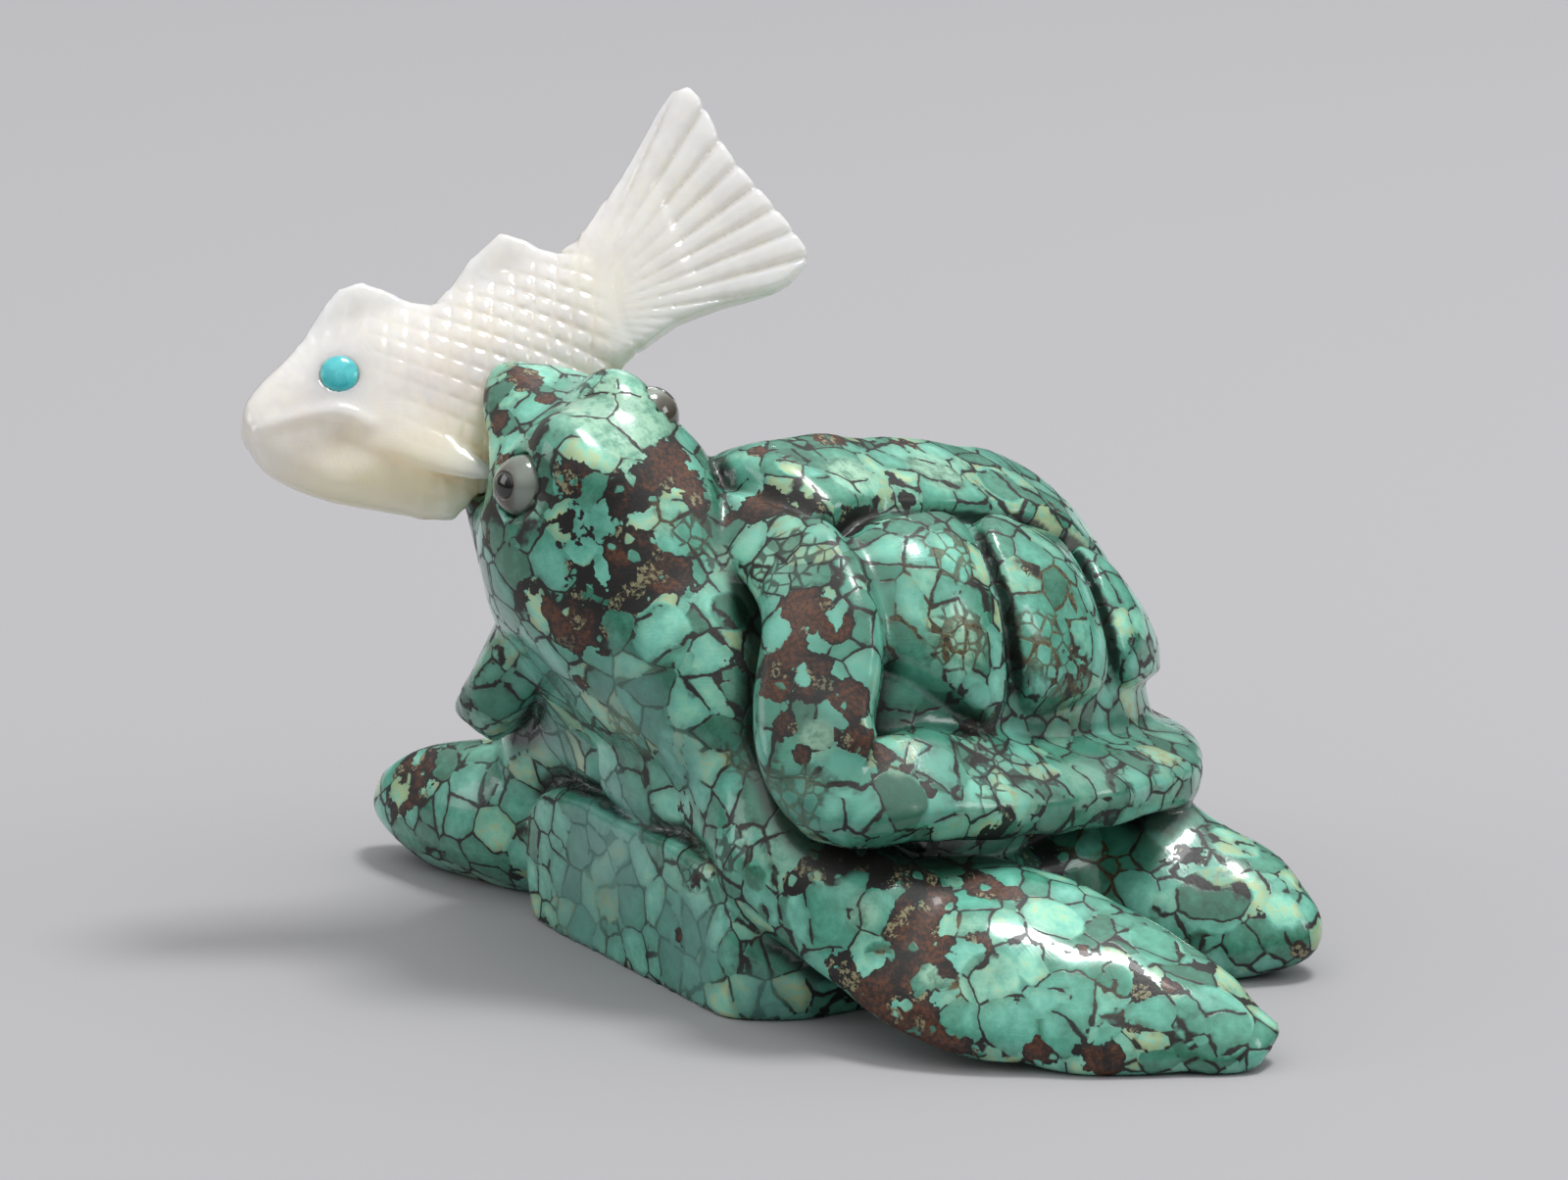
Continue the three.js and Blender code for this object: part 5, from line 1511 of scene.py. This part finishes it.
class Spiderweb(Effect):
    """Nodules of stone parted by a web of lines."""

    name = "spiderweb"
    inputs = {"Cell": 2.4, "Width": 0.1, "Wobble": 0.8, "Shift": 0.0, "Softness": 0.05}
    outputs = {"Line": "NodeSocketFloat", "Tone": "NodeSocketFloat", "Second Tone": "NodeSocketFloat",
               "Depth": "NodeSocketFloat"}

    @classmethod
    def lay(cls, bench: Bench, given: bpy.types.NodeOutputs) -> dict[str, bpy.types.NodeSocket]:
        """Lays a web whose lines run where the nearest two of many scattered points are equally near."""
        place = bench.vector("ADD", bench.millimetres(), given["Shift"])
        for scale, share in ((0.5, 1.0), (2.1, 0.22)):
            uneven = bench.vector("SUBTRACT", bench.noise(place, scale, 2).outputs["Color"], (0.5, 0.5, 0.5))
            amount = bench.math("MULTIPLY", given["Wobble"], share * 2)
            place = bench.vector("ADD", place, bench.vector("SCALE", uneven, scale=amount))
        inputs = {"Vector": place, "Scale": bench.math("DIVIDE", 1.0, given["Cell"])}
        first, second = (bench.node("TexVoronoi", inputs, feature=feature) for feature in ("F1", "F2"))
        between = bench.math("SUBTRACT", second.outputs["Distance"], first.outputs["Distance"])
        depth = bench.math("MULTIPLY", bench.math("MULTIPLY", between, 0.5), given["Cell"])
        ended = bench.math("ADD", given["Width"], given["Softness"])
        line = bench.band(depth, given["Width"], ended, 1.0, 0.0)
        tones = bench.node("SeparateColor", {0: first.outputs["Color"]})
        return {"Line": line, "Tone": tones.outputs[0], "Second Tone": tones.outputs[1], "Depth": depth}


class HandPolish(Effect):
    """The uneven gloss and the hairline scratches of a hand-polished surface."""

    name = "hand_polish"
    inputs = {"Roughness": 0.3, "Variation": 0.1, "Scratches": 0.5}
    outputs = {"Roughness": "NodeSocketFloat", "Height": "NodeSocketFloat"}

    @classmethod
    def lay(cls, bench: Bench, given: bpy.types.NodeOutputs) -> dict[str, bpy.types.NodeSocket]:
        """Lays soft blotches of gloss and three bundles of fine parallel lines in patches."""
        place = bench.millimetres()
        blotch = bench.math("SUBTRACT", bench.noise(place, 0.7, 4, 0.6).outputs["Fac"], 0.5)
        rough = bench.math("MULTIPLY_ADD", blotch, given["Variation"], given["Roughness"], clamp=True)
        total = 0.0
        for direction, shift in (((9.0, 0.4, 1.0), 3.0), ((0.6, 8.0, 1.4), 11.0), ((1.2, 0.7, 9.0), 23.0)):
            moved = bench.vector("ADD", place, (shift, shift, shift))
            fine = bench.noise(bench.vector("MULTIPLY", moved, direction), 1.0, 3, 0.7).outputs["Fac"]
            where = bench.band(bench.noise(moved, 0.3, 1).outputs["Fac"], 0.48, 0.62)
            line = bench.math("MULTIPLY", bench.math("SUBTRACT", fine, 0.5), where)
            total = bench.math("ADD", line, total)
        return {"Roughness": rough, "Height": bench.math("MULTIPLY", total, given["Scratches"])}


class PaintedCreaseShade(Effect):
    """Painted shade: darkens the colour where the surface closes into a crease, broken up by noise, and
    leaves the ridges clear.
    """

    name = "painted_crease_shade"
    inputs = {"Color": (0.5, 0.5, 0.5, 1.0), "Shade": (0.05, 0.04, 0.03, 1.0), "Crease": 0.0, "Amount": 0.5}
    outputs = {"Color": "NodeSocketColor"}

    @classmethod
    def lay(cls, bench: Bench, given: bpy.types.NodeOutputs) -> dict[str, bpy.types.NodeSocket]:
        """Lays painted shade where the crease value is high, broken up by noise."""
        uneven = bench.noise(bench.millimetres(), 1.6, 4, 0.65).outputs["Fac"]
        deep = bench.math("MULTIPLY_ADD", uneven, 0.5, given["Crease"])
        # painted shade: the colour is mixed towards the shade colour deep in the creases
        mask = bench.math("MULTIPLY", bench.band(deep, 0.5, 1.1), given["Amount"])
        return {"Color": bench.mix(mask, given["Color"], given["Shade"])}


# Finishes


@dataclass(frozen=True)
class Finish:
    """What all finishes share: a name, gloss, a clear polish and the marks of the hand."""

    name: str
    slot: Slot
    roughness: float
    coat: float = 0.4
    coat_roughness: float = 0.08
    uneven: float = 0.1
    scratches: float = 0.3
    relief: float = 0.02

    def make(self) -> bpy.types.Material:
        """Makes the material.

        Returns:
            The material, with what the finish lays in it and its relief as a bump.
        """
        material = bpy.data.materials.new(self.name)
        material.use_nodes = True
        material.node_tree.nodes.clear()
        bench = Bench(material.node_tree)
        shader = bench.node("BsdfPrincipled", {
            "Coat Weight": self.coat, "Coat Roughness": self.coat_roughness,
        })
        bench.node("OutputMaterial", {"Surface": shader.outputs[0]})
        height = self.lay(bench, shader)
        normal = bench.node("Bump", {"Height": height, "Strength": 1.0, "Distance": self.relief * MM})
        bench.feed(shader.inputs["Normal"], normal.outputs[0])
        return material

    def lay(self, bench: Bench, shader: bpy.types.Node) -> bpy.types.NodeSocket:
        """Lays the colour and the gloss.

        Args:
            bench: Where the nodes are laid.
            shader: What they feed.

        Returns:
            The height of the relief that is too fine for the mesh.
        """
        raise NotImplementedError

    def polish(self, bench: Bench, shader: bpy.types.Node, roughness: object) -> bpy.types.NodeSocket:
        """Feeds the shader uneven gloss and returns the height of the scratches."""
        polish = bench.use(HandPolish.group(), {
            "Roughness": roughness, "Variation": self.uneven, "Scratches": self.scratches,
        })
        bench.feed(shader.inputs["Roughness"], polish.outputs["Roughness"])
        return polish.outputs["Height"]


@dataclass(frozen=True)
class SpiderwebTurquoise(Finish):
    """Green turquoise nodules in a dark web, in places broken up by rusty host rock."""

    cells: Triple = (2.9, 1.7, 0.72)
    shifts: Triple = (3.0, 17.0, 41.0)
    wobble: float = 0.18
    hairline: tuple[float, float] = (0.008, 0.055)
    line_edge: float = 0.06
    grit_width: float = 0.1
    growth_from: float = 0.36
    growth: tuple[float, float] = (0.35, 1.7)
    islands: tuple[float, float] = (0.66, 0.7)
    network: tuple[float, float] = (0.72, 1.15)
    network_share: float = 0.8
    faintness: float = 0.72
    web_roughness: float = 0.5
    web_coat: float = 0.12
    # How strongly painted shade darkens the creases.
    crease_shade_share: float = 0.88
    stone: tuple[tuple[float, Triple], ...] = (
        (0.0, (50, 110, 88)), (0.2, (72, 146, 122)), (0.45, (94, 176, 152)), (0.7, (120, 202, 180)),
        (0.9, (152, 220, 190)), (1.0, (186, 210, 160)),
    )
    bluish: Triple = (96, 150, 144)
    # The milky pale of the stone; in the wide spot between the brows it is also a painted highlight.
    pale: Triple = (176, 220, 190)
    black: Triple = (15, 13, 11)
    brown: Triple = (52, 34, 25)
    rust: Triple = (98, 56, 32)
    grit: Triple = (142, 140, 106)
    dark_line: Triple = (17, 19, 14)
    ochre_line: Triple = (98, 86, 52)
    # The near-black painted shade laid in the creases.
    crease_shade: Triple = (17, 18, 14)

    def lay(self, bench: Bench, shader: bpy.types.Node) -> bpy.types.NodeSocket:
        """Lays nodules, web and rock, with painted shade in the creases.

        Args:
            bench: Where the nodes are laid.
            shader: What they feed.

        Returns:
            The height of the pits in the web and of the scratches.
        """
        place = bench.millimetres()
        blotch = bench.noise(place, 0.3, 3, 0.6).outputs["Fac"]
        fleck = bench.noise(place, 1.1, 3, 0.6).outputs["Fac"]
        ragged = bench.noise(place, 2.8, 2).outputs["Fac"]
        grain = bench.noise(place, 5.0, 3, 0.7).outputs["Fac"]
        ground = bench.around(bench.mask(Mask.MATRIX), ((blotch, 1.1), (fleck, 1.2), (ragged, 0.7)))
        pebbly = bench.band(ground, 0.3, 0.6)
        web, tone, depth, pebble = self.web(bench, ground, pebbly, fleck)

        stone = self.nodules(bench, tone, depth, bench.noise(place, 1.6, 5, 0.65).outputs["Fac"])
        ochre = bench.math("MULTIPLY", bench.mask(Mask.OCHRE), bench.band(grain, 0.3, 0.6))
        lines = bench.mix(ochre, paint(*self.dark_line), paint(*self.ochre_line))
        lines = bench.mix(pebbly, lines, self.rock(bench, fleck, grain, pebble))
        faint = bench.math("MULTIPLY_ADD", bench.mask(Mask.BLUE), -self.faintness, 1.0)
        faint = bench.math("MAXIMUM", faint, pebbly)
        # Painted shade: the stone darkens towards near black where it is creased.
        crease_shade = bench.use(PaintedCreaseShade.group(), {
            "Color": bench.mix(bench.math("MULTIPLY", web, faint), stone, lines),
            "Shade": paint(*self.crease_shade), "Crease": bench.mask(Mask.CREASE), "Amount": self.crease_shade_share,
        })
        bench.feed(shader.inputs["Base Color"], crease_shade.outputs["Color"])
        bench.feed(shader.inputs["Coat Weight"], bench.blend(web, self.coat, self.web_coat))
        scratches = self.polish(bench, shader, bench.blend(web, self.roughness, self.web_roughness))
        pits = bench.math("MULTIPLY", bench.math("SUBTRACT", grain, 1.0), web)
        return bench.math("ADD", pits, scratches)

    def web(self, bench: Bench, ground: bpy.types.NodeSocket, pebbly: bpy.types.NodeSocket,
            fleck: bpy.types.NodeSocket) -> tuple[bpy.types.NodeSocket, ...]:
        """The web between the nodules, which widens into rock and breaks up beside its lines.

        Args:
            bench: Where the nodes are laid.
            ground: How far the web has widened, from 0 for clean stone to 1 for solid rock.
            pebbly: Where it has widened far enough for rock with pebbles.
            fleck: A quick noise.

        Returns:
            The web, a value for each nodule, how far in from its edge it is, and a value for each pebble.
        """
        hair = bench.band(fleck, 0.35, 0.7, *self.hairline)
        large, medium, small = (
            bench.use(Spiderweb.group(), {
                "Cell": cell, "Width": bench.math("MULTIPLY_ADD", pebbly, self.grit_width, hair),
                "Wobble": self.wobble * cell, "Shift": shift,
            }).outputs
            for cell, shift in zip(self.cells, self.shifts)
        )
        coarse = bench.band(bench.math("MULTIPLY_ADD", fleck, 0.4, bench.mask(Mask.COARSE)), 0.5, 0.8)
        tone, second, depth = (
            bench.blend(coarse, medium[name], large[name]) for name in ("Tone", "Second Tone", "Depth")
        )
        growth = bench.math("MAXIMUM", bench.math("SUBTRACT", ground, self.growth_from), 0.0)
        growth = bench.math("MULTIPLY", growth, bench.band(second, 0.0, 1.0, *self.growth))
        width = bench.math("ADD", hair, growth)
        line = bench.band(depth, width, bench.math("ADD", width, self.line_edge), 1.0, 0.0)
        kept = bench.band(small["Second Tone"], *self.islands)
        islands = bench.math("MULTIPLY", bench.math("SUBTRACT", 1.0, small["Line"]), kept)
        line = bench.math("MULTIPLY", line, bench.math("SUBTRACT", 1.0, islands))
        beside = bench.band(depth, 0.1, 0.5, 0.35, 0.0)
        network = bench.math("ADD", bench.math("MULTIPLY_ADD", fleck, 0.9, bench.mask(Mask.FINE)), beside)
        network = bench.band(network, *self.network, 0.0, self.network_share)
        web = bench.math("MAXIMUM", line, bench.math("MULTIPLY", small["Line"], network))
        return web, tone, depth, small["Tone"]

    def nodules(self, bench: Bench, tone: bpy.types.NodeSocket, depth: bpy.types.NodeSocket,
                shade: bpy.types.NodeSocket) -> bpy.types.NodeSocket:
        """The colour of the stone between the lines.

        Args:
            bench: Where the nodes are laid.
            tone: A value for each nodule.
            depth: How far in from the edge of the nodule, in millimetres.
            shade: A cloudy noise.

        Returns:
            The colour.
        """
        pick = bench.around(tone, [(shade, 0.9)])
        stone = bench.ramp(pick, [(stop, paint(*colour)) for stop, colour in self.stone])
        stone = bench.mix(bench.band(depth, 0.0, 0.5, 0.45, 0.0), stone, paint(*self.stone[0][1]))
        stone = bench.mix(bench.math("MULTIPLY", bench.mask(Mask.BLUE), 0.55), stone, paint(*self.bluish))
        # Milky pale stone; in the wide spot between the brows it is partly painted highlight.
        milky_and_highlight = bench.math("MULTIPLY", bench.mask(Mask.PALE), bench.band(shade, 0.35, 0.6, 0.2, 0.8))
        return bench.mix(milky_and_highlight, stone, paint(*self.pale))

    def rock(self, bench: Bench, fleck: bpy.types.NodeSocket, grain: bpy.types.NodeSocket,
             pebble: bpy.types.NodeSocket) -> bpy.types.NodeSocket:
        """The colour of the host rock: black to rusty brown with pale grit.

        Args:
            bench: Where the nodes are laid.
            fleck: A quick noise.
            grain: A fine noise.
            pebble: A value for each small pebble.

        Returns:
            The colour.
        """
        rusty = bench.math("MULTIPLY_ADD", fleck, 1.6, bench.math("MULTIPLY", bench.mask(Mask.RUST), 0.75))
        rusty = bench.band(bench.math("MULTIPLY_ADD", grain, 0.4, rusty), 1.3, 1.75)
        brown = bench.mix(bench.band(grain, 0.4, 0.62), paint(*self.brown), paint(*self.rust))
        rock = bench.mix(rusty, paint(*self.black), brown)
        grit = bench.math("MULTIPLY", bench.band(pebble, 0.84, 0.88), bench.band(grain, 0.48, 0.58))
        return bench.mix(grit, rock, paint(*self.grit))


@dataclass(frozen=True)
class MotherOfPearl(Finish):
    """Milky, slightly see-through shell with faint layers and a warm belly."""

    pale: Triple = (240, 233, 225)
    grey: Triple = (226, 220, 215)
    warm: Triple = (252, 234, 204)
    # The warm brown painted shade laid in the creases, and how strongly it darkens them.
    crease_shade: Triple = (186, 166, 144)
    crease_shade_share: float = 0.3
    milkiness: float = 0.85
    glow: Triple = (1.0, 0.85, 0.65)
    depth: float = 4.5
    clearness: float = 0.08
    refraction: float = 1.53

    def lay(self, bench: Bench, shader: bpy.types.Node) -> bpy.types.NodeSocket:
        """Lays clouds, warm layers and light that spreads inside the shell.

        Args:
            bench: Where the nodes are laid.
            shader: What they feed.

        Returns:
            The height of the scratches.
        """
        place = bench.millimetres()
        cloud = bench.noise(place, 0.35, 3, 0.6).outputs["Fac"]
        colour = bench.mix(bench.band(cloud, 0.4, 0.65), paint(*self.pale), paint(*self.grey))
        layers = bench.noise(bench.vector("MULTIPLY", place, (0.5, 1.2, 0.5)), 0.5, 2).outputs["Fac"]
        layered = bench.band(layers, 0.5, 0.7, 0.0, 0.2)
        warm = bench.math("MULTIPLY_ADD", bench.mask(Mask.OCHRE), 0.8, layered)
        # Painted shade: the shell darkens towards warm brown where it is creased.
        crease_shade = bench.use(PaintedCreaseShade.group(), {
            "Color": bench.mix(warm, colour, paint(*self.warm)), "Shade": paint(*self.crease_shade),
            "Crease": bench.mask(Mask.CREASE), "Amount": self.crease_shade_share,
        })
        bench.feed(shader.inputs["Base Color"], crease_shade.outputs["Color"])
        bench.feed(shader.inputs["Subsurface Weight"], self.milkiness)
        bench.feed(shader.inputs["Subsurface Radius"], self.glow)
        bench.feed(shader.inputs["Subsurface Scale"], self.depth * MM)
        bench.feed(shader.inputs["Transmission Weight"], self.clearness)
        bench.feed(shader.inputs["IOR"], self.refraction)
        return self.polish(bench, shader, self.roughness)


@dataclass(frozen=True)
class BandedBead(Finish):
    """Smooth grey-green shell with a soft light band and a brown layer."""

    light: Triple = (168, 178, 168)
    dark: Triple = (100, 110, 98)
    brown: Triple = (66, 52, 38)
    milkiness: float = 0.4
    depth: float = 0.6

    def lay(self, bench: Bench, shader: bpy.types.Node) -> bpy.types.NodeSocket:
        """Lays upright bands.

        Args:
            bench: Where the nodes are laid.
            shader: What they feed.

        Returns:
            The height of the scratches.
        """
        upright = bench.vector("MULTIPLY", bench.millimetres(), (1.0, 1.0, 0.12))
        slow = bench.noise(upright, 0.6, 0).outputs["Fac"]
        colour = bench.mix(bench.band(slow, 0.35, 0.65), paint(*self.dark), paint(*self.light))
        layers = bench.noise(bench.vector("ADD", upright, (7.0, 3.0, 0.0)), 0.45, 0).outputs["Fac"]
        colour = bench.mix(bench.band(layers, 0.5, 0.65, 0.0, 0.8), colour, paint(*self.brown))
        bench.feed(shader.inputs["Base Color"], colour)
        bench.feed(shader.inputs["Subsurface Weight"], self.milkiness)
        bench.feed(shader.inputs["Subsurface Scale"], self.depth * MM)
        return self.polish(bench, shader, self.roughness)


@dataclass(frozen=True)
class PlainStone(Finish):
    """Even stone with faint clouds, as in the small inlays."""

    light: Triple = (78, 204, 208)
    dark: Triple = (54, 182, 190)

    def lay(self, bench: Bench, shader: bpy.types.Node) -> bpy.types.NodeSocket:
        """Lays clouds of two tones.

        Args:
            bench: Where the nodes are laid.
            shader: What they feed.

        Returns:
            The height of the scratches.
        """
        cloud = bench.noise(bench.millimetres(), 1.8, 3, 0.6).outputs["Fac"]
        colour = bench.mix(bench.band(cloud, 0.35, 0.65), paint(*self.dark), paint(*self.light))
        bench.feed(shader.inputs["Base Color"], colour)
        return self.polish(bench, shader, self.roughness)


TURQUOISE = SpiderwebTurquoise(
    "spiderweb_turquoise", Slot.TURQUOISE, 0.24, coat=0.5, coat_roughness=0.06, uneven=0.2, scratches=0.6
)
PEARL = MotherOfPearl(
    "mother_of_pearl", Slot.PEARL, 0.18, coat=0.8, coat_roughness=0.04, uneven=0.15, scratches=0.5
)
BEAD = BandedBead("banded_bead", Slot.EYE_SHELL, 0.12, coat=0.9, coat_roughness=0.03)
JET = PlainStone(
    "jet", Slot.PUPIL_JET, 0.15, coat=0.8, coat_roughness=0.03, light=(22, 19, 18), dark=(10, 9, 9)
)
BLUE_DOT = PlainStone("blue_turquoise", Slot.BLUE_DOT, 0.2, coat=0.7, coat_roughness=0.05)


# The set


@dataclass
class Stage:
    """The pale floor, the soft lights and the camera.

    The eye and the target are in millimetres. The picture's width and its distance from the eye are in
    the picture's own pixels.
    """

    floor_half: float = 2.0
    floor_colour: Triple = (163, 162, 165)
    floor_roughness: float = 0.85
    eye: Triple = (201.4, -183.8, 84.3)
    target: Triple = (-4.1, 1.2, 15.3)
    picture_width: int = 1600
    picture_distance: float = 6270.0
    sensor: float = 36.0
    sees: tuple[float, float] = (0.01, 20.0)
    sky: tuple[float, float] = (0.08, 1.15)
    aim: Triple = (0, 0, 0.012)
    lamps: tuple[tuple[str, Triple, float, float], ...] = (
        ("lamp_above", (0.05, 0.24, 0.84), 0.20, 4.4),
        ("lamp_left", (-0.55, -0.68, 0.34), 0.40, 1.0),
        ("lamp_right", (0.34, 0.26, 0.24), 0.14, 0.25),
    )

    def build(self) -> None:
        """Makes the floor, the lights and the camera."""
        corners = [(-1, -1, 0), (1, -1, 0), (1, 1, 0), (-1, 1, 0)]
        floor = mesh_piece("floor", np.array(corners) * self.floor_half / MM, [[0, 1, 2, 3]])
        material = bpy.data.materials.new("plain_floor")
        material.use_nodes = True
        shader = material.node_tree.nodes["Principled BSDF"]
        shader.inputs["Base Color"].default_value = paint(*self.floor_colour)
        shader.inputs["Roughness"].default_value = self.floor_roughness
        floor.data.materials.append(material)
        for lamp in self.lamps:
            self.hang(*lamp)
        self.light_room()
        self.set_camera()

    def light_room(self) -> None:
        """Makes the light of the room, brighter above than at the sides."""
        world = bpy.data.worlds.new("studio")
        bpy.context.scene.world = world
        world.use_nodes = True
        bench = Bench(world.node_tree)
        height = bench.node("SeparateXYZ", {0: bench.node("TexCoord").outputs["Generated"]}).outputs["Z"]
        background = world.node_tree.nodes["Background"]
        background.inputs["Color"].default_value = (1.0, 1.0, 1.0, 1.0)
        bench.feed(background.inputs["Strength"], bench.band(height, 0.0, 1.0, *self.sky))

    def hang(self, name: str, place: Triple, size: float, power: float) -> None:
        """Makes a square soft light that faces the carving.

        Args:
            name: Its name.
            place: Where it hangs, in metres.
            size: Its width in metres.
            power: Watts.
        """
        light = bpy.data.lights.new(name, "AREA")
        light.shape = "SQUARE"
        light.size = size
        light.energy = power
        lamp = bpy.data.objects.new(name, light)
        lamp.location = place
        lamp.rotation_euler = (Vector(self.aim) - Vector(place)).to_track_quat("-Z", "Y").to_euler()
        bpy.context.scene.collection.objects.link(lamp)

    def set_camera(self) -> None:
        """Makes the camera that sees the carving as the photograph does."""
        lens = bpy.data.cameras.new("camera")
        lens.sensor_fit = "HORIZONTAL"
        lens.sensor_width = self.sensor
        lens.lens = self.picture_distance * self.sensor / self.picture_width
        lens.clip_start, lens.clip_end = self.sees
        camera = bpy.data.objects.new("camera", lens)
        camera.location = Vector(self.eye) * MM
        direction = Vector(self.target) - Vector(self.eye)
        camera.rotation_euler = direction.to_track_quat("-Z", "Y").to_euler()
        bpy.context.scene.collection.objects.link(camera)
        bpy.context.scene.camera = camera
        bpy.context.scene.view_settings.view_transform = "Standard"


def place_piece(piece: bpy.types.Object, finish: Finish, node: str, body: str) -> None:
    """Dresses a piece and lets it stand for a node of the frame.

    Args:
        piece: The piece.
        finish: What it is dressed in.
        node: The node that it replaces.
        body: The body that it moves with.
    """
    material = bpy.data.materials.get(finish.name) or finish.make()
    piece.data.materials.append(material)
    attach(piece, body)
    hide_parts(node)
    LOG.info("%s replaces %s: %d faces", piece.name, node, len(piece.data.polygons))


def main() -> None:
    """Builds the carving around the frame."""
    logging.basicConfig(level=logging.INFO, format="%(message)s")
    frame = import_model()
    body = next(iter(frame["bodies"]))
    Stage().build()

    head = Head()
    fish = Fish(head)
    eyes = {
        "right": Eye(Side.RIGHT, head, away=2.6, up=-0.15, ahead=-0.25),
        "left": Eye(Side.LEFT, head, away=4.0, up=-0.7, ahead=0.3),
    }
    turtle = Turtle(head=head)
    place_piece(turtle.carve(fish, list(eyes.values())), TURQUOISE, "turtle", body)
    for name, eye in eyes.items():
        bead, pupil = eye.build(name)
        place_piece(bead, BEAD, f"turtle_eye_{name}", body)
        place_piece(pupil, JET, f"turtle_pupil_{name}", body)
    place_piece(fish.carve(), PEARL, "fish", body)
    for name, side in (("right", Side.RIGHT), ("left", Side.LEFT)):
        place_piece(Dot(fish, side).build(name), BLUE_DOT, f"fish_eye_{name}", body)


if __name__ == "__main__":
    main()
